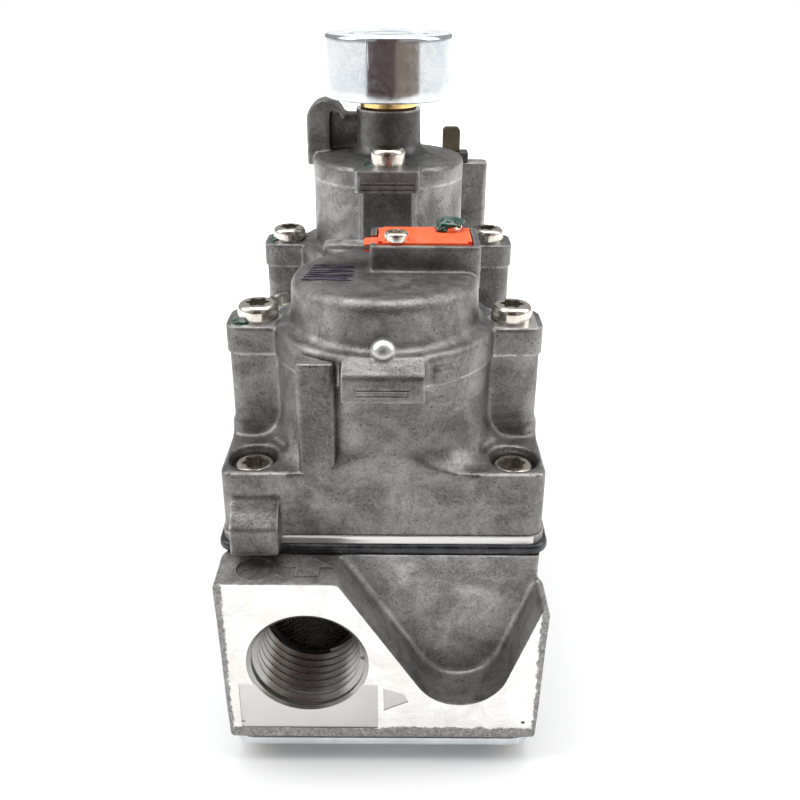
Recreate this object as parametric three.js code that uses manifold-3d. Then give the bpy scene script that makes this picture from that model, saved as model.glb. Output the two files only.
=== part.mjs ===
// A straight-through gas control valve with a shut-off solenoid at the front and a modulating
// pressure regulator behind it, built piece by piece as it comes apart on a bench.
//
// Units are millimetres and +Z is up. The origin is on the resting plane, at the centre of the
// footprint. Gas enters at the front (-Y), rises through the shut-off seat, crosses the upper
// chamber, drops through the regulator seat and leaves at the back (+Y).

import * as THREE from "three";
import { mergeVertices } from "three/addons/utils/BufferGeometryUtils.js";
import Module from "manifold-3d";

const wasm = await Module();
wasm.setup();

// ---------------------------------------------------------------- driving dimensions

const GAP = 0.3; // clearance between a piece and the neighbour it is cut to fit
const SIDES = 24; // sides of a large round wall
const INNER_SIDES = 14; // of the round pieces sealed inside
const HOLE_SIDES = 8;

const LENGTH = 116; // inlet face to outlet face
const BODY_HALF_WIDTH = 29.6; // at the top of the lower body
const BODY_FOOT_HALF_WIDTH = 28.9; // its sides draw in towards the bottom
const FLANGE_HALF_WIDTH = 29.3;
const GASKET_HALF_WIDTH = 30.2;
const END_PLATE = 9.5; // thickness of the inlet and outlet end plates
const BOX_END = LENGTH / 2 - END_PLATE; // half length of the chamber box and of the flange
const GASKET_END = BOX_END + 0.6;

const PAD_RADIUS = 18; // round pads that the valve stands on
const PAD_OFFSET = 36;
const Z_PLATE = 4; // underside of the bottom plate
const Z_PLATE_TOP = 6;
const Z_BODY = 6.6; // underside of the lower body, above the bottom gasket
const Z_BODY_TOP = 42;
const Z_FLANGE = 44; // underside of the upper body, above the main gasket
const Z_FLANGE_TOP = 58.5;
const Z_FLANGE_SEAT = 55.2; // sunk seats of the flange screws
const Z_COVER = 75; // parting plane between the upper body and both covers
const Z_EAR_TOP = 80.2;
const Z_SHOULDER = 80.5;
const Z_CAP_TOP = 89;
const Z_TERMINAL_TOP = 93.7;
const Z_REGULATOR_LID = 95.6;
const Z_TAB_TOP = 99.7; // seats of the lid screws
const Z_LID_TOP = 100;
const Z_TOWER_TOP = 110.2;
const Z_TOP = 125.2;

const FRONT_Y = -28; // axis of the shut-off solenoid
const REAR_Y = 25; // axis of the regulator
const UNIT_RADIUS = 20; // round walls of the upper body under both units
const COVER_RADIUS = 20.5;
const RAISED_RADIUS = 17;
const WELL_RADIUS = 16;
const EAR_HALF = 5.6; // half width of a screw ear
const EAR_SCREW_X = 23.35;
const EAR_END_X = 28.95;
const CORNER_SCREW = [23.6, 42];

const BORE_X = -13.7; // inlet and outlet bores
const BORE_Z = 24.2;
const BORE_RADIUS = 9.45; // 1/2 inch pipe thread, minor radius
const BORE_MOUTH_RADIUS = 11;
const SEAT_RADIUS = 7.5;
const SEAT_RIM_RADIUS = 9.5;
const Z_SEAT = 45.5;
const CHAMBER_END = 38; // how far the lower chambers reach from the middle
const CHAMBER_X = [-25, 9.5]; // their side walls
const RIB_HALF = 4; // half of the wall between them
const Z_CHAMBER_ROOF = 36;
const Z_UPPER_ROOF = 54; // roof of the upper chamber
const Z_WELL_FLOOR = 60;

const TAB_HALF = 6.9; // clamp tabs of the covers
const TAB_REACH = 20; // from the regulator's axis to the tab's face
const TAB_SCREW_REACH = 13.1;
const TOWER_RADIUS = 7.2;
const TOWER_BORE = 5.3;
const CAP_RADIUS = 13.95;
const SEAL_THICKNESS = 0.3;
const TEST_PORT = [-20.7, -3];
const TEST_BORE = 3.5;

// ---------------------------------------------------------------- finishes

const finish = (color, roughness, metalness) =>
  new THREE.MeshStandardMaterial({ color, roughness, metalness });
const castAluminium = finish(0x8d8c8a, 0.5, 0.85);
const platedSteel = finish(0xcfd3d4, 0.3, 1);
const nickelScrew = finish(0xb8b4ab, 0.25, 1);
const brass = finish(0xc79a3e, 0.3, 1);
const blackRubber = finish(0x15171a, 0.7, 0);
const orangePlastic = finish(0xf0512b, 0.45, 0);
const blackPlastic = finish(0x2a2a2c, 0.6, 0);
const copperWire = finish(0xa4552a, 0.4, 0.9);
const softSteel = finish(0x8a8d90, 0.4, 1);
const fibre = finish(0x5a2a1e, 0.8, 0);
const wireMesh = finish(0x2b2b2d, 0.5, 0.8);

// ---------------------------------------------------------------- solids

// A closed three.js geometry as a manifold solid.
function solid(geometry) {
  const bare = geometry.index ? geometry.toNonIndexed() : geometry.clone();
  bare.deleteAttribute("normal");
  bare.deleteAttribute("uv");
  const merged = mergeVertices(bare, 1e-4);
  return new wasm.Manifold(
    new wasm.Mesh({
      numProp: 3,
      vertProperties: merged.attributes.position.array,
      triVerts: new Uint32Array(merged.index.array),
    }),
  );
}

// A manifold solid as a three.js geometry.
function geometryOf(manifold) {
  const mesh = manifold.getMesh();
  const geometry = new THREE.BufferGeometry();
  geometry.setAttribute("position", new THREE.BufferAttribute(mesh.vertProperties, 3));
  geometry.setIndex(new THREE.BufferAttribute(mesh.triVerts, 1));
  return geometry;
}

const join = (first, ...others) => others.reduce((all, one) => all.add(one), first);
const cut = (first, ...others) => others.reduce((left, one) => left.subtract(one), first);

function box(x0, x1, y0, y1, z0, z1) {
  const geometry = new THREE.BoxGeometry(x1 - x0, y1 - y0, z1 - z0);
  geometry.translate((x0 + x1) / 2, (y0 + y1) / 2, (z0 + z1) / 2);
  return solid(geometry);
}

// A round bar along Z, with a different radius at its top if one is given.
function bar(x, y, z0, z1, radius, topRadius = radius, sides = SIDES) {
  const geometry = new THREE.CylinderGeometry(topRadius, radius, z1 - z0, sides);
  geometry.rotateX(Math.PI / 2);
  geometry.translate(x, y, (z0 + z1) / 2);
  return solid(geometry);
}

// A round bar along Y.
function barAlongY(x, z, y0, y1, radius, endRadius = radius) {
  const geometry = new THREE.CylinderGeometry(endRadius, radius, y1 - y0, SIDES);
  geometry.translate(x, (y0 + y1) / 2, z);
  return solid(geometry);
}

// A turned piece about the vertical line through (x, y). Its profile is [radius, z] points.
function turned(x, y, profile, sides = SIDES) {
  const points = profile.map(([radius, z]) => new THREE.Vector2(radius, z));
  const geometry = new THREE.LatheGeometry(points, sides);
  geometry.rotateX(Math.PI / 2);
  geometry.translate(x, y, 0);
  const made = solid(geometry);
  return made.volume() > 0 ? made : turned(x, y, [...profile].reverse(), sides);
}

function roundedRectangle(x0, x1, y0, y1, radius) {
  const shape = new THREE.Shape();
  shape.moveTo(x0 + radius, y0);
  shape.lineTo(x1 - radius, y0);
  shape.absarc(x1 - radius, y0 + radius, radius, -Math.PI / 2, 0);
  shape.lineTo(x1, y1 - radius);
  shape.absarc(x1 - radius, y1 - radius, radius, 0, Math.PI / 2);
  shape.lineTo(x0 + radius, y1);
  shape.absarc(x0 + radius, y1 - radius, radius, Math.PI / 2, Math.PI);
  shape.lineTo(x0, y0 + radius);
  shape.absarc(x0 + radius, y0 + radius, radius, Math.PI, 1.5 * Math.PI);
  return shape;
}

// A flat outline in X and Y, raised along Z.
function raised(shape, z0, z1) {
  const geometry = new THREE.ExtrudeGeometry(shape, {
    depth: z1 - z0,
    bevelEnabled: false,
    curveSegments: 3,
  });
  geometry.translate(0, 0, z0);
  return solid(geometry);
}

const slab = (x0, x1, y0, y1, z0, z1, radius) =>
  raised(roundedRectangle(x0, x1, y0, y1, radius), z0, z1);

// A flat outline in X and Z, pulled along Y.
function pulledAlongY(shape, y0, y1, curveSegments = 8) {
  const geometry = new THREE.ExtrudeGeometry(shape, {
    depth: y1 - y0,
    bevelEnabled: false,
    curveSegments,
  });
  geometry.rotateX(Math.PI / 2);
  geometry.translate(0, y1, 0);
  return solid(geometry);
}

// A coil spring of round wire about the vertical line through (x, y).
class Helix extends THREE.Curve {
  constructor(x, y, z0, z1, radius, turns) {
    super();
    Object.assign(this, { x, y, z0, z1, radius, turns });
  }
  getPoint(t, target = new THREE.Vector3()) {
    const angle = 2 * Math.PI * this.turns * t;
    return target.set(
      this.x + this.radius * Math.cos(angle),
      this.y + this.radius * Math.sin(angle),
      this.z0 + (this.z1 - this.z0) * t,
    );
  }
}

function spring(x, y, z0, z1, radius, wire, turns) {
  const section = new THREE.Shape();
  section.absarc(0, 0, wire, 0, 2 * Math.PI);
  const geometry = new THREE.ExtrudeGeometry(section, {
    steps: Math.round(turns * 9),
    curveSegments: 3,
    bevelEnabled: false,
    extrudePath: new Helix(x, y, z0 + wire, z1 - wire, radius, turns),
  });
  return solid(geometry);
}

const valve = new THREE.Group();

function add(name, material, manifold) {
  const mesh = new THREE.Mesh(geometryOf(manifold), material);
  mesh.name = name;
  valve.add(mesh);
}

// A pan-head screw: seat is the plane under its head.
function screw(x, y, seat, headRadius, headHeight, shankRadius, shankLength) {
  const crown = headRadius * 0.72;
  const waist = headHeight * 0.55;
  return turned(x, y, [
    [0, seat - shankLength],
    [shankRadius, seat - shankLength],
    [shankRadius, seat],
    [headRadius, seat],
    [headRadius, seat + waist],
    [crown, seat + headHeight],
    [0, seat + headHeight],
  ], INNER_SIDES);
}

const M3_HOLE = 1.8;
const M4 = { head: 3.8, height: 2.9, shank: 2 };
const m4Screw = (x, y, seat, length) => screw(x, y, seat, M4.head, M4.height, M4.shank, length);
const screwHole = (x, y, z0, z1) => bar(x, y, z0, z1, M4.shank + GAP, M4.shank + GAP, HOLE_SIDES);
const headRoom = (x, y, z0, z1) => bar(x, y, z0, z1, M4.head + 2 * GAP, M4.head + 2 * GAP, INNER_SIDES);

// ---------------------------------------------------------------- lower body

// Outline of an end plate in X and Z: full height over the bore, then a valley with a round
// bottom that lightens the casting beside it.
function endPlateOutline() {
  const valleyRadius = 9;
  const valleyCentre = new THREE.Vector2(14.3, 23.6);
  const leftWall = Math.atan2(-0.846, 0.533) - Math.PI / 2; // normal of the long slope
  const rightWall = Math.atan2(0.924, 0.3815) - Math.PI / 2; // normal of the short slope
  const shape = new THREE.Shape();
  shape.moveTo(-BODY_FOOT_HALF_WIDTH, Z_BODY);
  shape.lineTo(BODY_FOOT_HALF_WIDTH, Z_BODY);
  shape.lineTo(BODY_HALF_WIDTH, 37);
  shape.lineTo(BODY_HALF_WIDTH - 1, 37);
  shape.absarc(valleyCentre.x, valleyCentre.y, valleyRadius, rightWall, leftWall, true);
  shape.lineTo(-7.9, Z_BODY_TOP);
  shape.lineTo(-BODY_HALF_WIDTH, Z_BODY_TOP);
  return shape;
}

// Outline in X and Z of the chamber box between the end plates.
function chamberBoxOutline() {
  const shape = new THREE.Shape();
  shape.moveTo(-BODY_FOOT_HALF_WIDTH, Z_BODY);
  shape.lineTo(BODY_FOOT_HALF_WIDTH, Z_BODY);
  shape.lineTo(BODY_HALF_WIDTH, Z_BODY_TOP);
  shape.lineTo(-BODY_HALF_WIDTH, Z_BODY_TOP);
  return shape;
}

function lowerBody() {
  const end = LENGTH / 2;
  const outline = endPlateOutline();
  const blank = join(
    pulledAlongY(chamberBoxOutline(), -BOX_END, BOX_END),
    pulledAlongY(outline, -end, -BOX_END),
    pulledAlongY(outline, BOX_END, end),
    bar(0, FRONT_Y, Z_BODY_TOP, Z_SEAT, SEAT_RIM_RADIUS, SEAT_RADIUS + 0.8),
    bar(0, REAR_Y, Z_BODY_TOP, Z_SEAT, SEAT_RIM_RADIUS, SEAT_RADIUS + 0.8),
  );
  const strainerStop = -43;
  return cut(
    blank,
    box(...CHAMBER_X, -CHAMBER_END, -RIB_HALF, Z_BODY - 1, Z_CHAMBER_ROOF), // inlet chamber
    box(...CHAMBER_X, RIB_HALF, CHAMBER_END, Z_BODY - 1, Z_CHAMBER_ROOF), // outlet chamber
    box(13.5, 25.5, -CHAMBER_END, CHAMBER_END, Z_BODY - 1, Z_CHAMBER_ROOF), // core-out
    bar(0, FRONT_Y, Z_CHAMBER_ROOF - 1, Z_SEAT + 1, SEAT_RADIUS),
    bar(0, REAR_Y, Z_CHAMBER_ROOF - 1, Z_SEAT + 1, SEAT_RADIUS),
    barAlongY(BORE_X, BORE_Z, -end - 1, strainerStop, BORE_RADIUS),
    barAlongY(BORE_X, BORE_Z, strainerStop - 1, -CHAMBER_END + 1, BORE_RADIUS - 1.4),
    barAlongY(BORE_X, BORE_Z, -end - 0.02, -end + 1.6, BORE_MOUTH_RADIUS, BORE_RADIUS - 0.2),
    barAlongY(BORE_X, BORE_Z, CHAMBER_END - 1, end + 1, BORE_RADIUS),
    barAlongY(BORE_X, BORE_Z, end - 1.6, end + 0.02, BORE_RADIUS - 0.2, BORE_MOUTH_RADIUS),
    ...cornerPlaces.map(([x, y]) => screwHole(x, y, 26, Z_BODY_TOP + 1)),
    ...bottomScrewPlaces.map(([x, y]) => bar(x, y, Z_BODY - 1, 16, M3_HOLE, M3_HOLE, HOLE_SIDES)),
  );
}

const cornerPlaces = [
  [-CORNER_SCREW[0], -CORNER_SCREW[1]],
  [CORNER_SCREW[0], -CORNER_SCREW[1]],
  [-CORNER_SCREW[0], CORNER_SCREW[1]],
  [CORNER_SCREW[0], CORNER_SCREW[1]],
];
const bottomScrewPlaces = [
  [-24, -53],
  [24, -53],
  [-24, 53],
  [24, 53],
];
const earPlaces = [
  [-EAR_SCREW_X, FRONT_Y],
  [EAR_SCREW_X, FRONT_Y],
  [-EAR_SCREW_X, REAR_Y],
  [EAR_SCREW_X, REAR_Y],
];

add("lower_body", castAluminium, lowerBody());

// ---------------------------------------------------------------- bottom plate and its gasket

const PLATE_HALF = [28.6, 57.6];
const plateHole = ([x, y]) =>
  bar(x, y, Z_PLATE - 1, Z_BODY + 1, M3_HOLE, M3_HOLE, HOLE_SIDES);

add(
  "bottom_plate",
  platedSteel,
  cut(
    join(
      slab(-PLATE_HALF[0], PLATE_HALF[0], -PLATE_HALF[1], PLATE_HALF[1], Z_PLATE, Z_PLATE_TOP, 4),
      bar(0, -PAD_OFFSET, 0, Z_PLATE + 0.5, PAD_RADIUS - 1.5, PAD_RADIUS),
      bar(0, PAD_OFFSET, 0, Z_PLATE + 0.5, PAD_RADIUS - 1.5, PAD_RADIUS),
    ),
    ...bottomScrewPlaces.map(plateHole),
  ),
);

add(
  "bottom_gasket",
  blackRubber,
  cut(
    slab(-28.8, 28.8, -57.3, 57.3, Z_PLATE_TOP, Z_BODY, 4),
    box(...CHAMBER_X, -CHAMBER_END, -RIB_HALF, Z_PLATE_TOP - 1, Z_BODY + 1),
    box(...CHAMBER_X, RIB_HALF, CHAMBER_END, Z_PLATE_TOP - 1, Z_BODY + 1),
    ...bottomScrewPlaces.map(plateHole),
  ),
);

bottomScrewPlaces.forEach(([x, y], i) => {
  const upright = screw(0, 0, 0, 2.7, 1.9, 1.4, 8);
  const turnedOver = upright.rotate([180, 0, 0]).translate([x, y, Z_PLATE]);
  add(`bottom_screw_${i + 1}`, nickelScrew, turnedOver);
});

// ---------------------------------------------------------------- inlet strainer

function strainer() {
  const rim = -43.2; // it rests against the step in the inlet bore
  const dome = turned(0, 0, [
    [0, 0],
    [BORE_RADIUS - 0.4, 0],
    [BORE_RADIUS - 0.4, 0.7],
    [7.4, 0.7],
    [4.5, 2.3],
    [0, 3],
  ]);
  let mesh = cut(dome, bar(0, 0, -1, 0.6, 7));
  for (let ring = 1; ring <= 2; ring += 1) {
    for (let i = 0; i < 6 * ring; i += 1) {
      const angle = (2 * Math.PI * i) / (6 * ring);
      const reach = 2.9 * ring;
      mesh = cut(mesh, bar(reach * Math.cos(angle), reach * Math.sin(angle), -1, 4, 0.9, 0.9, 5));
    }
  }
  return mesh.rotate([90, 0, 0]).translate([BORE_X, rim, BORE_Z]);
}

add("inlet_strainer", wireMesh, strainer());

// ---------------------------------------------------------------- main gasket

add(
  "main_gasket",
  blackRubber,
  cut(
    slab(-GASKET_HALF_WIDTH, GASKET_HALF_WIDTH, -GASKET_END, GASKET_END, Z_BODY_TOP, Z_FLANGE, 3.5),
    slab(-20, 20, -40.5, 38.5, Z_BODY_TOP - 1, Z_FLANGE + 1, 5),
    ...cornerPlaces.map(([x, y]) => screwHole(x, y, Z_BODY_TOP - 1, Z_FLANGE + 1)),
  ),
);

// ---------------------------------------------------------------- upper body

// Both ears of one unit: a block across the axis, with rounded ends.
const earBlock = (y, z0, z1) =>
  slab(-EAR_END_X, EAR_END_X, y - EAR_HALF, y + EAR_HALF, z0, z1, 3);

// Outline in X and Z of the locating lug that hangs over the gasket, pulled along X.
function locatingLug() {
  const lug = new THREE.Shape();
  lug.moveTo(-48, Z_FLANGE + 0.1);
  lug.lineTo(-48, 52.6);
  lug.lineTo(-48.6, 52.6);
  lug.lineTo(-52.8, 49.5);
  lug.lineTo(-52.8, Z_FLANGE + 0.1);
  const geometry = new THREE.ExtrudeGeometry(lug, { depth: 8.6, bevelEnabled: false });
  geometry.rotateX(Math.PI / 2);
  geometry.rotateZ(Math.PI / 2);
  geometry.translate(-27.1, 0, 0);
  const made = solid(geometry);
  return made.volume() > 0 ? made : made.mirror([1, 0, 0]);
}

function upperBody() {
  const blank = join(
    slab(-FLANGE_HALF_WIDTH, FLANGE_HALF_WIDTH, -BOX_END, BOX_END, Z_FLANGE, Z_FLANGE_TOP, 3),
    bar(0, FRONT_Y, Z_FLANGE_TOP - 1, Z_COVER, UNIT_RADIUS),
    bar(0, REAR_Y, Z_FLANGE_TOP - 1, Z_COVER, UNIT_RADIUS),
    earBlock(FRONT_Y, Z_FLANGE_TOP - 1, Z_COVER),
    earBlock(REAR_Y, Z_FLANGE_TOP - 1, Z_COVER),
    box(-14.6, -8.4, -48.3, -44, Z_FLANGE_TOP - 1, 79.3), // upright rib
    box(10, 24.2, 41, 46, Z_FLANGE_TOP - 1, 95), // wiring bracket
    bar(...TEST_PORT, Z_FLANGE_TOP - 1, Z_COVER, 4.6, 4.6, INNER_SIDES),
    locatingLug(),
  );
  const [portX, portY] = TEST_PORT;
  return cut(
    blank,
    slab(-19.5, 19.5, -40, 38, Z_FLANGE - 1, Z_UPPER_ROOF, 5), // upper chamber
    bar(0, FRONT_Y, Z_WELL_FLOOR, Z_SHOULDER, WELL_RADIUS), // coil well
    bar(0, REAR_Y, Z_WELL_FLOOR, Z_SHOULDER, WELL_RADIUS), // regulator well
    bar(0, FRONT_Y, Z_UPPER_ROOF - 1, Z_WELL_FLOOR + 1, 5.5, 5.5, INNER_SIDES), // plunger bore
    bar(0, REAR_Y, Z_UPPER_ROOF - 1, Z_WELL_FLOOR + 1, 2.4, 2.4, HOLE_SIDES), // stem guide
    bar(portX, portY, Z_UPPER_ROOF - 1, Z_COVER + 1, 1.2, 1.2, HOLE_SIDES), // tapping into the chamber
    bar(portX, portY, 66, Z_COVER + 1, TEST_BORE, TEST_BORE, INNER_SIDES), // test port bore
    bar(0, FRONT_Y, Z_COVER, 80, COVER_RADIUS + GAP), // room for the covers beside the rib
    bar(0, REAR_Y, Z_COVER, 96, COVER_RADIUS + GAP), // and beside the wiring bracket
    ...cornerPlaces.map(([x, y]) => screwHole(x, y, Z_FLANGE - 1, Z_FLANGE_TOP)),
    ...cornerPlaces.map(([x, y]) => bar(x, y, Z_FLANGE_SEAT, Z_FLANGE_TOP + 1, 4.3, 4.8, INNER_SIDES)),
    ...earPlaces.map(([x, y]) => screwHole(x, y, 62, Z_COVER + 1)),
  );
}

add("upper_body", castAluminium, upperBody());

cornerPlaces.forEach(([x, y], i) =>
  add(`flange_screw_${i + 1}`, nickelScrew, m4Screw(x, y, Z_FLANGE_SEAT, 26)),
);

add(
  "test_port_plug",
  nickelScrew,
  cut(bar(...TEST_PORT, 67, 72.5, 3, 2.8, INNER_SIDES), box(-24, -17, -3.5, -2.5, 71.2, 74)),
);

// ---------------------------------------------------------------- shut-off solenoid

function frontCover() {
  const y = FRONT_Y;
  const outer = join(
    bar(0, y, Z_COVER, Z_SHOULDER, COVER_RADIUS, COVER_RADIUS - 0.6),
    earBlock(y, Z_COVER, Z_EAR_TOP),
    bar(0, y, Z_SHOULDER - 1, Z_CAP_TOP, RAISED_RADIUS + 0.4, RAISED_RADIUS - 0.2),
    box(-7, 7, -51.4, -44, Z_COVER, 78.9), // front lug
    box(-7, 7, -51.4, -48.4, 73.7, Z_COVER + 0.5),
    solid(new THREE.SphereGeometry(2.5, 16, 12).translate(0, -45.6, 81)),
    box(-2.8, 17.3, -28.3, -14.5, Z_SHOULDER - 1, Z_TERMINAL_TOP), // terminal pocket
  );
  return cut(
    outer,
    bar(0, y, Z_COVER - 1, 87, WELL_RADIUS - 0.6),
    box(-1.6, 16.1, -27.2, -15.6, 90, Z_TERMINAL_TOP + 1),
    box(-4, -1, -25.6, -20.4, 91.4, Z_TERMINAL_TOP + 1), // slot for the blade
    box(4.6, 7, -20, -17, 86, 91), // opening for the coil leads
    ...[-1, 1].map((side) => screwHole(side * EAR_SCREW_X, y, Z_COVER - 1, Z_EAR_TOP + 1)),
    ...[-1, 1].map((side) => headRoom(side * EAR_SCREW_X, y, Z_EAR_TOP, Z_CAP_TOP)),
  );
}

add("front_cover", castAluminium, frontCover());

add(
  "front_cover_seal",
  blackRubber,
  turned(0, FRONT_Y, [
    [14.2, Z_WELL_FLOOR],
    [15.6, Z_WELL_FLOOR],
    [15.6, Z_WELL_FLOOR + 1.4],
    [14.2, Z_WELL_FLOOR + 1.4],
    [14.2, Z_WELL_FLOOR],
  ]),
);

// Bobbin, winding and yoke of a coil whose lower flange stands at z0.
function addCoil(unit, y, z0, height, coreRadius, outerRadius) {
  const z1 = z0 + height;
  add(
    `${unit}_coil_bobbin`,
    blackPlastic,
    turned(0, y, [
      [coreRadius, z0],
      [outerRadius - 1.6, z0],
      [outerRadius - 1.6, z0 + 1.2],
      [coreRadius + 1.2, z0 + 1.2],
      [coreRadius + 1.2, z1 - 1.2],
      [outerRadius - 1.6, z1 - 1.2],
      [outerRadius - 1.6, z1],
      [coreRadius, z1],
      [coreRadius, z0],
    ], INNER_SIDES),
  );
  add(
    `${unit}_coil_winding`,
    copperWire,
    turned(0, y, [
      [coreRadius + 1.3, z0 + 1.3],
      [outerRadius - 2.4, z0 + 1.3],
      [outerRadius - 2.4, z1 - 1.3],
      [coreRadius + 1.3, z1 - 1.3],
      [coreRadius + 1.3, z0 + 1.3],
    ], INNER_SIDES),
  );
  add(
    `${unit}_coil_yoke`,
    softSteel,
    turned(0, y, [
      [outerRadius - 1.2, z0],
      [outerRadius, z0],
      [outerRadius, z1 + 1.4],
      [coreRadius, z1 + 1.4],
      [coreRadius, z1 + 0.2],
      [outerRadius - 1.2, z1 + 0.2],
      [outerRadius - 1.2, z0],
    ], INNER_SIDES),
  );
}

addCoil("front", FRONT_Y, 61.7, 21.5, 5.4, 14.8);

add(
  "front_guide_tube",
  brass,
  turned(0, FRONT_Y, [
    [4.5, 54.4],
    [5, 54.4],
    [5, 84.8],
    [4.5, 84.8],
    [4.5, 54.4],
  ], INNER_SIDES),
);
add("front_pole_piece", softSteel, bar(0, FRONT_Y, 74.2, 84.8, 4, 4, INNER_SIDES));
add(
  "plunger",
  softSteel,
  join(
    bar(0, FRONT_Y, 50.2, 71.6, 4, 4, INNER_SIDES),
    bar(0, FRONT_Y, 48.9, 50.4, 3, 3, INNER_SIDES),
  ),
);
add("shutoff_disc", softSteel, bar(0, FRONT_Y, 47.9, 48.9, 10.6));
add("shutoff_seal", blackRubber, bar(0, FRONT_Y, Z_SEAT + 0.05, 47.9, 10.2));
add("plunger_spring", platedSteel, spring(0, FRONT_Y, 49, 53.9, 7.2, 0.5, 3));

// Terminal block of the shut-off coil, its two screws and its blade.
const BLADE_Y = [-25.1, -20.9];
const TERMINAL_SCREWS = [
  [2.1, -24.9],
  [12.1, -17.6],
];
add(
  "terminal_block",
  orangePlastic,
  cut(
    join(box(-1.3, 15.8, -26.9, -15.9, 90.1, 94.1), box(-4.6, -1, -25.3, -20.7, 91.7, 93.4)),
    box(-5, 1, BLADE_Y[0] - GAP, BLADE_Y[1] + GAP, 92.2, 93),
    ...TERMINAL_SCREWS.map(([x, y]) => bar(x, y, 89, 95, 1.4, 1.4, HOLE_SIDES)),
  ),
);
add(
  "blade_terminal",
  platedSteel,
  cut(
    join(box(-11.4, 0.7, ...BLADE_Y, 92.3, 92.9), box(-11.4, -10.6, ...BLADE_Y, 91, 92.4)),
    bar(-8.6, -23, 91.5, 94, 0.7, 0.7, 10),
  ),
);
TERMINAL_SCREWS.forEach(([x, y], i) =>
  add(`terminal_screw_${i + 1}`, nickelScrew, screw(x, y, 94.1, 2.3, 1.6, 1.1, 3.9)),
);

// ---------------------------------------------------------------- modulating regulator

add(
  "diaphragm",
  blackRubber,
  turned(0, REAR_Y, [
    [9.2, 73.8],
    [12.2, 72.6],
    [15.4, 73.8],
    [15.4, 74.6],
    [12.2, 73.4],
    [9.2, 74.6],
    [9.2, 73.8],
  ]),
);

function regulatorHousing() {
  const y = REAR_Y;
  const outer = join(
    bar(0, y, Z_COVER, Z_SHOULDER, COVER_RADIUS, COVER_RADIUS - 0.6),
    earBlock(y, Z_COVER, Z_EAR_TOP),
    bar(0, y, Z_SHOULDER - 1, Z_REGULATOR_LID, RAISED_RADIUS, RAISED_RADIUS - 0.2),
    box(-5.8, 5.8, y - 18.8, y + 18.8, Z_SHOULDER - 1, Z_REGULATOR_LID), // screw columns
  );
  return cut(
    outer,
    bar(0, y, Z_COVER - 1, 76.4, WELL_RADIUS - 0.4),
    bar(0, y, Z_COVER, Z_REGULATOR_LID + 1, 10.4),
    ...[-1, 1].map((side) => screwHole(side * EAR_SCREW_X, y, Z_COVER - 1, Z_EAR_TOP + 1)),
    ...[-1, 1].map((side) => headRoom(side * EAR_SCREW_X, y, Z_EAR_TOP, Z_CAP_TOP)),
    ...[-1, 1].map((side) => screwHole(0, y + side * TAB_SCREW_REACH, 86, Z_REGULATOR_LID + 1)),
  );
}

add("regulator_housing", castAluminium, regulatorHousing());

// A post with a round top, standing outside the lid's edge, which keeps the leads off the tower.
function leadPost() {
  const halfWidth = 3.3;
  const x = -15.4;
  const post = new THREE.Shape();
  post.moveTo(x - halfWidth, 97);
  post.lineTo(x + halfWidth, 97);
  post.lineTo(x + halfWidth, 108);
  post.absarc(x, 108, halfWidth, 0, Math.PI, false);
  return join(pulledAlongY(post, 27, 35), box(x, -6, 27, 35, 97, 104));
}

function regulatorLid() {
  const y = REAR_Y;
  const profile = [
    [0, Z_REGULATOR_LID],
    [RAISED_RADIUS, Z_REGULATOR_LID],
    [RAISED_RADIUS, Z_LID_TOP - 1.4],
    [RAISED_RADIUS - 1.4, Z_LID_TOP],
    [TOWER_RADIUS + 2, Z_LID_TOP + 0.5],
    [TOWER_RADIUS, Z_LID_TOP + 2.4],
    [TOWER_RADIUS, Z_TOWER_TOP],
    [0, Z_TOWER_TOP],
  ];
  const tab = (side) => {
    const faces = [y + side * TAB_REACH, y + side * 9].sort((a, b) => a - b);
    return box(-TAB_HALF, TAB_HALF, faces[0], faces[1], Z_REGULATOR_LID, Z_TAB_TOP);
  };
  return cut(
    join(turned(0, y, profile), tab(-1), tab(1), leadPost()),
    bar(0, y, Z_REGULATOR_LID - 1, Z_TOWER_TOP + 1, TOWER_BORE),
    ...[-1, 1].map((side) => screwHole(0, y + side * TAB_SCREW_REACH, 94, 101)),
    ...[-1, 1].map((side) => bar(0, y + side * TAB_SCREW_REACH, Z_TAB_TOP, 104, 4.3, 4.3, INNER_SIDES)),
  );
}

add("regulator_lid", castAluminium, regulatorLid());

["front", "rear"].forEach((place, i) =>
  add(
    `lid_screw_${place}`,
    nickelScrew,
    m4Screw(0, REAR_Y + (i ? 1 : -1) * TAB_SCREW_REACH, Z_TAB_TOP, 12),
  ),
);

const EAR_SCREW_NAMES = ["front_left", "front_right", "rear_left", "rear_right"];
earPlaces.forEach(([x, y], i) =>
  add(`cover_screw_${EAR_SCREW_NAMES[i]}`, nickelScrew, m4Screw(x, y, Z_EAR_TOP, 15)),
);

addCoil("rear", REAR_Y, 77.5, 14, 3.6, 10.1);

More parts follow.
